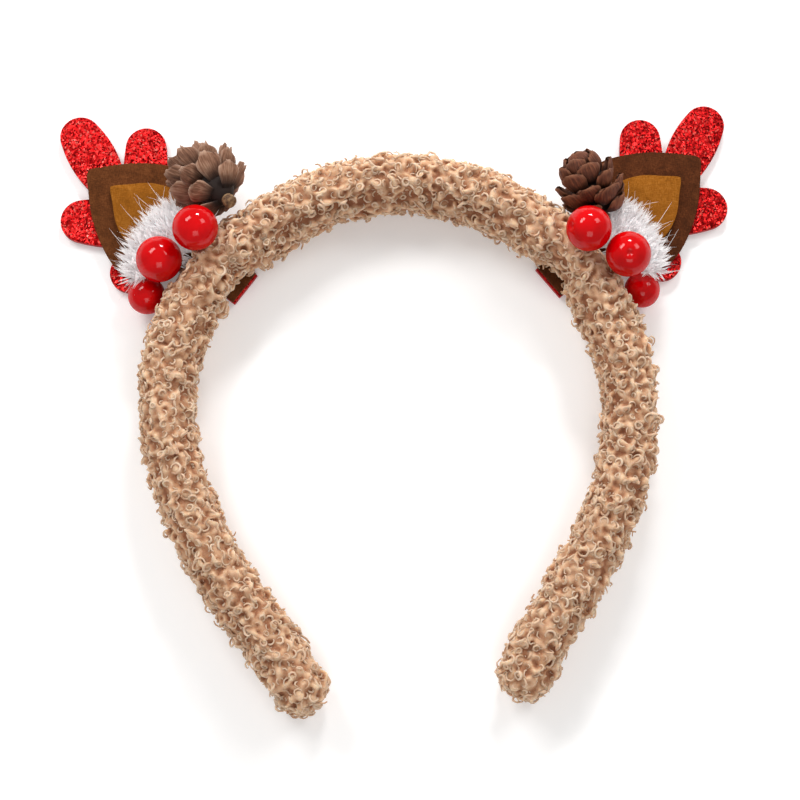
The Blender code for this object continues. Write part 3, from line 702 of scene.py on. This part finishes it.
# Foam side: dyed EVA foam, cut clean, which looks matt and grainy from cells 0.4 mm across
FOAM_CELL_MM = 0.4
foam, tree, shader = finish("red EVA foam, die-cut side", Roughness=0.7)
place = add(tree, "ShaderNodeTexCoord").outputs["Object"]
cells = add(tree, "ShaderNodeTexNoise", {"Vector": place, "Scale": 1000 / FOAM_CELL_MM, "Detail": 2.0})
colour = add(tree, "ShaderNodeValToRGB", {"Fac": cells}, stops=((0.3, "8E1014"), (0.7, "B3191C")))
bump = add(tree, "ShaderNodeBump", {"Height": cells, "Strength": 0.4, "Distance": 0.00008})
tree.links.new(colour.outputs[0], shader.inputs["Base Color"])
tree.links.new(bump.outputs[0], shader.inputs["Normal"])

# Felt: wool pressed into a sheet, with a dull nap. Matted fibres run every way and are drawn about 1 mm
# apart, as coarse as they need to show, in cloudy patches 3 mm wide.
FELT_FIBRE_MM = 1.25
FELT_BEND_MM = 2.381
FELT_MOTTLE_MM = 3.333


def felt(name, dark, middle, pale):
    """Pressed felt: two crossed runs of bent fibres over cloudy patches."""
    made, tree, shader = finish(name, Roughness=0.95, Specular_IOR_Level=0.15)
    place = add(tree, "ShaderNodeTexCoord").outputs["Object"]
    bend = add(tree, "ShaderNodeTexNoise", {"Vector": place, "Scale": 1000 / FELT_BEND_MM, "Detail": 3.0})
    bent = add(
        tree,
        "ShaderNodeVectorMath",
        {0: bend.outputs["Color"], 1: (0.0012, 0.0012, 0.0012), 2: place},
        operation="MULTIPLY_ADD",
    )
    runs = []
    for turn, stretch in ((0.5, (1, 5, 1)), (-1.1, (5, 1, 1))):
        laid = add(tree, "ShaderNodeMapping", {0: bent, "Rotation": (0, 0, turn), "Scale": stretch})
        runs.append(
            add(tree, "ShaderNodeTexNoise", {"Vector": laid, "Scale": 1000 / FELT_FIBRE_MM, "Detail": 2.0})
        )
    crossed = add(tree, "ShaderNodeMath", {0: runs[0], 1: runs[1]}, operation="ADD")
    clouds = add(
        tree,
        "ShaderNodeTexNoise",
        {
            "Vector": add(tree, "ShaderNodeMapping", {0: place, "Scale": (1.0, 0.8, 1.0)}),
            "Scale": 1000 / FELT_MOTTLE_MM,
            "Detail": 5.0,
            "Roughness": 0.65,
        },
    )
    patchy = add(tree, "ShaderNodeMath", {0: clouds, 1: 0.55}, operation="MULTIPLY")
    tone = add(tree, "ShaderNodeMath", {0: crossed, 1: 0.50, 2: patchy}, operation="MULTIPLY_ADD")
    colour = add(
        tree, "ShaderNodeValToRGB", {"Fac": tone}, stops=((0.55, dark), (0.78, middle), (1.0, pale))
    )
    bump = add(tree, "ShaderNodeBump", {"Height": crossed, "Strength": 0.7, "Distance": 0.00025})
    tree.links.new(colour.outputs[0], shader.inputs["Base Color"])
    tree.links.new(bump.outputs[0], shader.inputs["Normal"])
    return made


brown_felt = {
    "left": felt("dark brown pressed wool felt", "3E200A", "5A3014", "744423"),
    # The right ear's felt is the left's, darkened as painted shade
    "right": felt("dark brown pressed wool felt, darkened as painted shade", "331806", "4C250E", "64361A"),
}
golden_felt = felt("golden brown pressed wool felt", "744207", "8E5412", "A86C28")

for side in ("left", "right"):
    antler = cut_sheet(f"{side}_glitter_antler", f"{side}_antler", glitter[side], foam)
    fixed(antler, "glitter_foam", f"{side}_antler")
    ear = cut_sheet(f"{side}_brown_ear", f"{side}_ear_outer", brown_felt[side])
    fixed(ear, "brown_felt", f"{side}_ear_outer")
    inner_ear = cut_sheet(f"{side}_golden_ear", f"{side}_ear_inner", golden_felt)
    fixed(inner_ear, "golden_felt", f"{side}_ear_inner")


# Berries
# Artificial holly berries: hollow plastic balls dipped in thick red lacquer, their wire hole a small pit
# where the lacquer drew in. The dip leaves each one a little out of round.
PIT_DEPTH = 0.0010
PIT_SPREAD_DEG = 8.0
OUT_OF_ROUND = 0.008
BERRIES = ("berry_top", "berry_middle", "berry_low")

# Lacquer: dipped and glossy, so that it mirrors the lights. It runs a little thicker every 6 mm or so,
# which bends their edges and drifts its red.
LACQUER_RUN_MM = 5.882
lacquer, tree, shader = finish(
    "dipped berry lacquer, glossy cellulose",
    Roughness=0.35,
    Specular_IOR_Level=0.0,
    Coat_Weight=0.5,
    Coat_Roughness=0.06,
)
place = add(tree, "ShaderNodeTexCoord").outputs["Object"]
flow = add(tree, "ShaderNodeTexNoise", {"Vector": place, "Scale": 1000 / LACQUER_RUN_MM, "Detail": 2.0})
colour = add(
    tree, "ShaderNodeValToRGB", {"Fac": flow}, stops=((0.3, "B40003"), (0.55, "C80106"), (0.8, "D40309"))
)
bump = add(tree, "ShaderNodeBump", {"Height": flow, "Strength": 0.25, "Distance": 0.0005})
tree.links.new(colour.outputs[0], shader.inputs["Base Color"])
tree.links.new(bump.outputs[0], shader.inputs["Normal"])

for side in ("left", "right"):
    for name in BERRIES:
        solid = welded(f"{side}_{name}")
        low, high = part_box(f"{side}_{name}")
        centre = (Vector(low) + Vector(high)) / 2
        radius = max((vert.co - centre).length for vert in solid.verts)
        pit = min(solid.verts, key=lambda vert: (vert.co - centre).length).co - centre
        solid.free()
        shape = bmesh.new()
        bmesh.ops.create_uvsphere(shape, u_segments=36, v_segments=40, radius=radius)
        for vert in shape.verts:
            from_top = math.degrees(vert.co.angle(Vector((0, 0, 1)), 0.0))
            vert.co *= 1 - PIT_DEPTH / radius * math.exp(-((from_top / PIT_SPREAD_DEG) ** 2))
            vert.co *= 1 + OUT_OF_ROUND * noise.noise(vert.co / radius * 1.3 + centre * 300)
        turn = pit.to_track_quat("Z", "Y").to_matrix().to_4x4()
        bmesh.ops.transform(shape, matrix=Matrix.Translation(centre) @ turn, verts=shape.verts)
        bmesh.ops.recalc_face_normals(shape, faces=shape.faces)
        fixed(piece(f"{side}_glossy_{name}", shape, lacquer), "berry_red", f"{side}_{name}")


# Pinecones
# Small dried alder-sized pinecones: woody scales set round a core in a golden-angle spiral, domed and
# ribbed on the back. The left one lies open and weathered, its stem end up, and the right one is browner
# and more closed.
GOLDEN_ANGLE = math.radians(137.508)
CONES = {
    "left": {
        "centre": (-0.05824, 0.06600, 0.01897),
        "stem to tip": (-0.60, 0.66, -0.45),
        "half width": 0.01290,
        "half length": 0.01400,
        "scale width": 0.0080,
        "scales": 34,
        "looseness": 2.2,
        "scale form": {"ribs": 1.3, "notch": 1.0, "dome": 0.02},
        "wood": ("weathered pinecone scales", "1E0F08", "4E3022", "7E5640", "A07A62", "BA9984"),
    },
    "right": {
        "centre": (0.05769, 0.06430, 0.01728),
        "stem to tip": (-0.40, 0.80, 0.35),
        "half width": 0.01090,
        "half length": 0.01190,
        "scale width": 0.0098,
        "scales": 30,
        "looseness": 1.3,
        "scale form": {"ribs": 0.25, "notch": 0.4, "dome": 0.20},
        "wood": ("brown pinecone scales", "160A05", "3A1A0D", "5C2F1B", "7A452B", "8E5C40"),
    },
}
FIRST_LEAN_DEG = -36
LAST_LEAN_DEG = 84
CORE_WIDTH_SHARE = 0.50
CORE_LENGTH_SHARE = 0.80


def cone_scale(seed, ribs, notch, dome):
    """A scale 1 long and 1 wide from its root at the origin along X, its domed back towards -Z."""
    rng = random.Random(seed)
    rows, columns = 9, 10
    widths = ((0.0, 0.40), (0.25, 0.60), (0.5, 0.84), (0.72, 1.0), (0.88, 0.94), (0.96, 0.74), (1.0, 0.46))

    def width_at(t):
        for (a, wa), (b, wb) in zip(widths, widths[1:]):
            if t <= b:
                return wa + (wb - wa) * (t - a) / (b - a)
        return widths[-1][1]

    shape = bmesh.new()
    uv = shape.loops.layers.uv.verify()
    layers = []
    phase = rng.uniform(-0.5, 0.5)
    for thickness in (-1, 1):
        grid = []
        for i in range(rows):
            t = (i / (rows - 1)) ** 0.8
            line = []
            for j in range(columns):
                s = 2 * j / (columns - 1) - 1
                edge = 1 - s * s
                torn = notch * 0.11 * t**3 * noise.noise(Vector((s * 2.9, seed * 3.1, 0)))
                x = t + torn - 0.12 * t * s * s
                y = s * width_at(t) / 2
                z = -dome * edge * (0.35 + 0.65 * math.sin(math.pi * min(t, 0.95)))
                z += 0.16 * t**3
                z -= ribs * 0.020 * math.cos((s + phase * 0.3) * math.pi * 3.2) * t * edge**0.3
                z += thickness * 0.034 * (0.35 + 0.65 * edge) * (1 - 0.55 * t**3)
                line.append(shape.verts.new((x, y, z)))
            grid.append(line)
        layers.append(grid)
    lower, upper = layers

    def quad(corners, places):
        face = shape.faces.new(corners)
        for loop, (u, v) in zip(face.loops, places):
            loop[uv].uv = (u, v)

    for grid, flip in ((lower, True), (upper, False)):
        for i in range(rows - 1):
            for j in range(columns - 1):
                corners = [grid[i][j], grid[i + 1][j], grid[i + 1][j + 1], grid[i][j + 1]]
                u0, u1 = i / (rows - 1), (i + 1) / (rows - 1)
                v0, v1 = j / (columns - 1), (j + 1) / (columns - 1)
                places = [(u0, v0), (u1, v0), (u1, v1), (u0, v1)]
                quad(corners[::-1] if flip else corners, places[::-1] if flip else places)
    rim = [(0, j) for j in range(columns)] + [(i, columns - 1) for i in range(1, rows)]
    rim += [(rows - 1, j) for j in range(columns - 2, -1, -1)] + [(i, 0) for i in range(rows - 2, 0, -1)]
    for (a, b), (c, d) in zip(rim, rim[1:] + rim[:1]):
        places = [(a / (rows - 1), b / (columns - 1)), (c / (rows - 1), d / (columns - 1))]
        quad((lower[a][b], lower[c][d], upper[c][d], upper[a][b]), places + places[::-1])
    bmesh.ops.recalc_face_normals(shape, faces=shape.faces)
    return shape


def spiral_tree():
    """Geometry Nodes: scales set round an upright core in a golden-angle spiral, stem down."""
    tree = bpy.data.node_groups.new("scales in a spiral", "GeometryNodeTree")
    for name, kind in (
        ("Core", "Geometry"),
        ("Scales", "Collection"),
        ("Count", "Int"),
        ("Half width", "Float"),
        ("Half length", "Float"),
        ("Scale width", "Float"),
        ("First lean", "Float"),
        ("Last lean", "Float"),
        ("Looseness", "Float"),
        ("Seed", "Int"),
        ("Material", "Material"),
    ):
        tree.interface.new_socket(name=name, in_out="INPUT", socket_type=f"NodeSocket{kind}")
    tree.interface.new_socket(name="Cone", in_out="OUTPUT", socket_type="NodeSocketGeometry")
    given = add(tree, "NodeGroupInput").outputs

    wobble = add(tree, "FunctionNodeRandomValue", {2: -0.10, 3: 0.10, 8: given["Seed"]}, data_type="FLOAT")
    known = {socket.name: socket for socket in given}
    known["number"] = add(tree, "GeometryNodeInputIndex")
    known["wobble"] = wobble.outputs[1]
    for name, operation, *terms in (
        ("middle", "ADD", "number", 0.5),
        ("rise", "DIVIDE", "middle", "Count"),
        ("turn", "MULTIPLY_ADD", "number", GOLDEN_ANGLE, "wobble"),
        ("lean range", "SUBTRACT", "Last lean", "First lean"),
        ("even lean", "MULTIPLY_ADD", "lean range", "rise", "First lean"),
        ("lean", "MULTIPLY_ADD", "wobble", "Looseness", "even lean"),
        ("lean cosine", "COSINE", "lean"),
        ("lean sine", "SINE", "lean"),
        ("tip out", "MULTIPLY", "lean cosine", "Half width"),
        ("tip up", "MULTIPLY", "lean sine", "Half length"),
        ("root share", "MULTIPLY_ADD", "rise", 1.32, -0.74),
        ("root up", "MULTIPLY", "root share", "Half length"),
        ("taper", "MULTIPLY_ADD", "rise", 1.6, -0.8),
        ("taper square", "MULTIPLY", "taper", "taper"),
        ("spread square", "SUBTRACT", 1.0, "taper square"),
        ("spread", "SQRT", "spread square"),
        ("root spread", "MULTIPLY", "spread", 0.30),
        ("root out", "MULTIPLY", "root spread", "Half width"),
        ("away", "SUBTRACT", "tip out", "root out"),
        ("up", "SUBTRACT", "tip up", "root up"),
        ("away square", "MULTIPLY", "away", "away"),
        ("up square", "MULTIPLY", "up", "up"),
        ("long square", "ADD", "away square", "up square"),
        ("long", "SQRT", "long square"),
        ("pitch", "ARCTAN2", "up", "away"),
        ("pitch down", "MULTIPLY", "pitch", -1.0),
        ("turn cosine", "COSINE", "turn"),
        ("turn sine", "SINE", "turn"),
        ("root x", "MULTIPLY", "turn cosine", "root out"),
        ("root y", "MULTIPLY", "turn sine", "root out"),
        ("rise square", "MULTIPLY", "rise", "rise"),
        ("narrow", "MULTIPLY_ADD", "rise square", -0.45, 1.0),
        ("even width", "MULTIPLY", "narrow", "Scale width"),
        ("uneven", "MULTIPLY_ADD", "wobble", 1.2, 1.0),
        ("wide", "MULTIPLY", "even width", "uneven"),
    ):
        terms = {i: known.get(term, term) for i, term in enumerate(terms)}
        known[name] = add(tree, "ShaderNodeMath", terms, operation=operation)
    place = add(tree, "ShaderNodeCombineXYZ", {0: known["root x"], 1: known["root y"], 2: known["root up"]})
    points = add(tree, "GeometryNodePoints", {"Count": given["Count"], "Position": place})
    heading = add(tree, "ShaderNodeCombineXYZ", {0: 0.0, 1: known["pitch down"], 2: known["turn"]})
    size = add(tree, "ShaderNodeCombineXYZ", {0: known["long"], 1: known["wide"], 2: given["Scale width"]})
    placed = add(
        tree,
        "GeometryNodeInstanceOnPoints",
        {
            "Points": points,
            "Instance": add(tree, "GeometryNodeCollectionInfo", {0: given["Scales"], 1: True, 2: True}),
            "Pick Instance": True,
            "Instance Index": known["number"],
            "Rotation": add(tree, "FunctionNodeEulerToRotation", {0: heading}),
            "Scale": size,
        },
    )
    shade = add(tree, "FunctionNodeRandomValue", {2: 0.0, 3: 1.0, 8: 5}, data_type="FLOAT")
    stored = add(
        tree,
        "GeometryNodeStoreNamedAttribute",
        {"Geometry": placed, "Name": "shade", "Value": shade.outputs[1]},
        data_type="FLOAT",
        domain="INSTANCE",
    )
    real = add(tree, "GeometryNodeRealizeInstances", {"Geometry": stored})
    whole = add(tree, "GeometryNodeJoinGeometry")
    for geometry in (real.outputs[0], given["Core"]):
        tree.links.new(geometry, whole.inputs[0])
    dressed = add(tree, "GeometryNodeSetMaterial", {"Geometry": whole, "Material": given["Material"]})
    add(tree, "NodeGroupOutput", {0: dressed})
    return tree


# Cone scales: dry wood, matt and fibrous, streaked from root to tip, shadowed at the root and bleached
# along the broken edge, with blotches 3 mm across.
BLOTCH_MM = 2.857


def cone_wood(name, root, dark, middle, pale, edge):
    """Dry wood for cone scales, from the shadow at their roots to their bleached edges."""
    made, tree, shader = finish(name, Roughness=0.72, Specular_IOR_Level=0.3)
    coords = add(tree, "ShaderNodeTexCoord").outputs
    shade = add(tree, "ShaderNodeAttribute", attribute_name="shade").outputs["Fac"]
    lengthwise = add(tree, "ShaderNodeMapping", {0: coords["UV"], "Scale": (1.6, 11.0, 1.0)})
    own = add(tree, "ShaderNodeMath", {0: shade, 1: 23.0}, operation="MULTIPLY")
    grain = add(
        tree,
        "ShaderNodeTexNoise",
        {"Vector": lengthwise, "W": own, "Scale": 1.6, "Detail": 4.0},
        noise_dimensions="4D",
    )
    blotch = add(
        tree, "ShaderNodeTexNoise", {"Vector": coords["Object"], "Scale": 1000 / BLOTCH_MM, "Detail": 4.0}
    )
    tone = add(tree, "ShaderNodeMath", {0: blotch, 1: 0.5, 2: grain}, operation="MULTIPLY_ADD")
    tone = add(tree, "ShaderNodeMath", {0: shade, 1: 0.12, 2: tone}, operation="MULTIPLY_ADD")
    colour = add(
        tree, "ShaderNodeValToRGB", {"Fac": tone}, stops=((0.52, dark), (0.80, middle), (1.0, pale))
    )
    ways = add(tree, "ShaderNodeSeparateXYZ", {0: coords["UV"]}).outputs
    across = add(tree, "ShaderNodeMath", {0: ways[1], 1: 0.5}, operation="SUBTRACT")
    across = add(tree, "ShaderNodeMath", {0: across}, operation="ABSOLUTE")
    rim = add(tree, "ShaderNodeMapRange", {"Value": across, "From Min": 0.40, "From Max": 0.5})
    end = add(tree, "ShaderNodeMapRange", {"Value": ways[0], "From Min": 0.86, "From Max": 1.0})
    border = add(tree, "ShaderNodeMath", {0: rim, 1: end}, operation="MAXIMUM")
    ragged = add(tree, "ShaderNodeMath", {0: border, 1: blotch}, operation="MULTIPLY")
    edged = add(tree, "ShaderNodeMix", {0: ragged, 6: colour, 7: linear(edge)}, data_type="RGBA")
    root_shade = add(tree, "ShaderNodeMapRange", {"Value": ways[0], "From Min": 0.10, "From Max": 0.55})
    shaded = add(tree, "ShaderNodeMix", {0: root_shade, 6: linear(root), 7: edged.outputs[2]}, data_type="RGBA")
    bump = add(tree, "ShaderNodeBump", {"Height": grain, "Strength": 0.8, "Distance": 0.00035})
    tree.links.new(shaded.outputs[2], shader.inputs["Base Color"])
    tree.links.new(bump.outputs[0], shader.inputs["Normal"])
    return made


# Stem stub: the twig's cut end, ringed and paler than the scales, its bark cracked about every 1 mm
STEM_RADIUS = 0.0021
STEM_RINGS = (0.98, 0.96, 0.92, 0.88, 0.84, 0.80, 0.50)
BARK_CRACK_MM = 1.111
stem_wood, tree, shader = finish("cut twig end", Roughness=0.8)
place = add(tree, "ShaderNodeTexCoord").outputs["Object"]
bark = add(tree, "ShaderNodeTexNoise", {"Vector": place, "Scale": 1000 / BARK_CRACK_MM, "Detail": 4.0})
colour = add(
    tree, "ShaderNodeValToRGB", {"Fac": bark}, stops=((0.35, "4A2F1C"), (0.55, "80603F"), (0.75, "A88A64"))
)
bump = add(tree, "ShaderNodeBump", {"Height": bark, "Strength": 0.7, "Distance": 0.0003})
tree.links.new(colour.outputs[0], shader.inputs["Base Color"])
tree.links.new(bump.outputs[0], shader.inputs["Normal"])

spiral = spiral_tree()
for side, form in CONES.items():
    half_width, half_length = form["half width"], form["half length"]
    scales = kept_aside(f"{side} scale", [cone_scale(seed, **form["scale form"]) for seed in range(5)])
    core = bmesh.new()
    bmesh.ops.create_uvsphere(core, u_segments=16, v_segments=12, radius=1.0)
    core_radius = half_width * CORE_WIDTH_SHARE
    squeeze = Matrix.Diagonal((core_radius, core_radius, half_length * CORE_LENGTH_SHARE, 1.0))
    bmesh.ops.transform(core, matrix=squeeze, verts=core.verts)
    cone = piece(f"{side}_woody_pinecone", core)
    modifier = cone.modifiers.new("scales", "NODES")
    modifier.node_group = spiral
    keys = {item.name: item.identifier for item in spiral.interface.items_tree if item.in_out == "INPUT"}
    for key, value in (
        ("Scales", scales),
        ("Count", form["scales"]),
        ("Half width", half_width),
        ("Half length", half_length),
        ("Scale width", form["scale width"]),
        ("First lean", math.radians(FIRST_LEAN_DEG)),
        ("Last lean", math.radians(LAST_LEAN_DEG)),
        ("Looseness", form["looseness"]),
        ("Seed", 2),
        ("Material", cone_wood(*form["wood"])),
    ):
        modifier[keys[key]] = value
    settled(cone)
    turn = Vector(form["stem to tip"]).to_track_quat("Z", "Y").to_matrix().to_4x4()
    laid = Matrix.Translation(HOOP_CENTRE + Vector(form["centre"])) @ turn
    cone.data.transform(laid)
    fixed(cone, "cone_wood", f"{side}_pinecone")
    stem = bmesh.new()
    strand(
        stem,
        [Vector((0, 0, -half_length * share)) for share in STEM_RINGS],
        [STEM_RADIUS * (1.0 - 0.16 * (i % 2)) * (0.55 if i == 0 else 1.0) for i in range(len(STEM_RINGS))],
        sides=14,
    )
    bmesh.ops.transform(stem, matrix=laid, verts=stem.verts)
    bmesh.ops.recalc_face_normals(stem, faces=stem.faces)
    fixed(piece(f"{side}_cone_stem", stem, stem_wood), "cone_wood")


# Fur tufts
# A strip of white rabbit-like fur on each ear: dense fine underfur that stands away from the skin, with
# fewer long stiff guard hairs through it. None grows where the cone is glued over it.
TUFTS = (("left", -56.2), ("right", 54.4))
SKIN_INSET = 0.0010
SKIN_GRAIN = 0.0011
BARE_RIM = 0.0015
UNDERFUR_SPACING = 0.000672
GUARD_SPACING = 0.0026


def fur_lock(seed, hairs, length, spread, thickness, droop):
    """A few hairs from one root, up Z, drawn together towards a shared tip."""
    rng = random.Random(seed)
    shape = bmesh.new()
    sway = Vector((rng.uniform(-1, 1), rng.uniform(-1, 1), 0)) * droop
    for _ in range(hairs):
        angle = rng.uniform(0, 2 * math.pi)
        out = Vector((math.cos(angle), math.sin(angle), 0)) * spread * rng.uniform(0.2, 1.0)
        reach = length * rng.uniform(0.7, 1.0)
        points = []
        for t in (0.0, 0.4, 0.75, 1.0):
            open_out = out * (0.5 + 0.9 * t - 1.0 * t * t)
            points.append(open_out + Vector((0, 0, reach * t)) + sway * reach * t * t)
        strand(shape, points, [thickness / 2 * s for s in (1.0, 0.9, 0.6, 0.12)], 3)
    return shape


# Fur: fine white acrylic that light passes through. A faint emission is painted light in place of the light
# it scatters, so that only its shadows tell the locks apart. Its white drifts a little over 4 mm.
FUR_PATCH_MM = 3.846
fur, tree, shader = finish(
    "white fur, fine animal-like acrylic",
    Roughness=0.6,
    Sheen_Weight=0.5,
    Subsurface_Weight=1.0,
    Subsurface_Scale=0.003,
    Subsurface_Radius=(1.0, 0.9, 0.9),
    # Painted light: a faint white glow in place of light scattered through the hairs
    Emission_Color=linear("FFF4F4"),
    Emission_Strength=0.10,
)
shade = add(tree, "ShaderNodeAttribute", attribute_name="shade").outputs["Fac"]
place = add(tree, "ShaderNodeTexCoord").outputs["Object"]
patch = add(tree, "ShaderNodeTexNoise", {"Vector": place, "Scale": 1000 / FUR_PATCH_MM, "Detail": 2.0})
tone = add(tree, "ShaderNodeMath", {0: shade, 1: 0.5, 2: patch}, operation="MULTIPLY_ADD")
colour = add(
    tree, "ShaderNodeValToRGB", {"Fac": tone}, stops=((0.3, "EFE8EA"), (0.6, "F8F4F5"), (1.0, "FFFFFF"))
)
tree.links.new(colour.outputs[0], shader.inputs["Base Color"])

underfur, guards = [], []
for seed in range(6):
    underfur.append(fur_lock(seed, hairs=6, length=0.0050, spread=0.0006, thickness=0.00018, droop=0.25))
for seed in range(40, 45):
    guards.append(fur_lock(seed, hairs=1, length=0.0115, spread=0.0002, thickness=0.00021, droop=0.35))
underfur = kept_aside("fur lock", underfur)
guards = kept_aside("guard hair", guards)
for side, degrees in TUFTS:
    outward = Vector((math.sin(math.radians(degrees)), math.cos(math.radians(degrees)), 0.0))
    lean = outward * 0.55 + Vector((0.0, 0.15, 0.25))
    skin = ground_of(f"{side}_fur_skin", f"{side}_fur_tuft", SKIN_INSET, SKIN_GRAIN, 12)
    skin.data.materials.append(fur)
    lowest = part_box(f"{side}_fur_tuft")[0][2]
    cone_middle = HOOP_CENTRE + Vector(CONES[side]["centre"])

    def cover(vert):
        clear = (vert.co - cone_middle).length > CONES[side]["half length"]
        return 1.0 if clear and vert.co.z > lowest + BARE_RIM else 0.0

    under = scattered(
        f"{side}_underfur",
        skin,
        underfur,
        fur,
        cover,
        Spacing=UNDERFUR_SPACING,
        Least_size=0.7,
        Most_size=1.15,
        Tilt=0.30,
        Lift=0.0,
        Lean=lean,
        Seed=5,
    )
    guard = scattered(
        f"{side}_guard_hairs",
        skin,
        guards,
        fur,
        cover,
        Spacing=GUARD_SPACING,
        Least_size=0.6,
        Most_size=1.1,
        Tilt=0.35,
        Lift=0.0,
        Lean=lean * 1.2,
        Seed=9,
    )
    for hairs in (under, guard):
        for vert in hairs.data.vertices:
            vert.co.z = max(vert.co.z, lowest)
    fixed(skin, "white_fur", f"{side}_fur_tuft")
    fixed(under, "white_fur")
    fixed(guard, "white_fur")


# Table, light and camera
# A pale seamless table under large soft lights from above, and the camera where the photograph was taken:
# nearly straight down on the decorated front, tipped a little towards the hoop's open end.
TABLE_SIZE = 6.0
LIGHT_LEVEL = 0.40
ELEVATION = math.radians(80)
DISTANCE = 0.56667
AIM_HEIGHT = 0.011

# Paper: matt and bright enough to burn out to the photograph's white
paper, tree, shader = finish(
    "pale seamless paper",
    Roughness=0.9,
    Base_Color=linear("F7F6F5"),
    Emission_Color=linear("FFFFFF"),
    Emission_Strength=0.15,
)
sheet = bmesh.new()
bmesh.ops.create_grid(sheet, x_segments=1, y_segments=1, size=TABLE_SIZE / 2)
table = piece("table", sheet, paper)
table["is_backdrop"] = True

world = bpy.data.worlds.new("soft studio")
world.use_nodes = True
world.node_tree.nodes["Background"].inputs["Color"].default_value = (1.0, 1.0, 1.0, 1.0)
world.node_tree.nodes["Background"].inputs["Strength"].default_value = LIGHT_LEVEL
bpy.context.scene.world = world

for name, watts, wide, tall, spot in (
    ("softbox_left", 3.4, 0.40, 0.20, (-0.42, 0.45, 0.60)),
    ("softbox_right", 2.0, 0.30, 0.30, (0.50, 0.40, 0.60)),
    ("softbox_front", 1.5, 0.40, 0.40, (0.05, -0.55, 0.65)),
    ("strip_top", 3.1, 0.16, 0.07, (0.10, 0.70, 0.42)),
):
    light = bpy.data.lights.new(name, "AREA")
    light.energy = watts
    light.shape = "RECTANGLE"
    light.size = wide
    light.size_y = tall
    lamp = bpy.data.objects.new(name, light)
    lamp.location = spot
    lamp.rotation_mode = "QUATERNION"
    lamp.rotation_quaternion = (Vector((0, 0.02, 0)) - Vector(spot)).to_track_quat("-Z", "Y")
    bpy.context.scene.collection.objects.link(lamp)

camera_data = bpy.data.cameras.new("camera")
camera_data.lens = 85
camera_data.sensor_width = 36
camera_data.clip_start = 0.01
camera = bpy.data.objects.new("camera", camera_data)
aim = HOOP_CENTRE + Vector((0, 0, AIM_HEIGHT))
back = Vector((0, -math.cos(ELEVATION), math.sin(ELEVATION)))
camera.location = aim + back * DISTANCE
camera.rotation_euler = Euler((math.pi / 2 - ELEVATION, 0, 0))
bpy.context.scene.collection.objects.link(camera)
bpy.context.scene.camera = camera
bpy.context.scene.view_settings.view_transform = "Standard"

low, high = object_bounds()
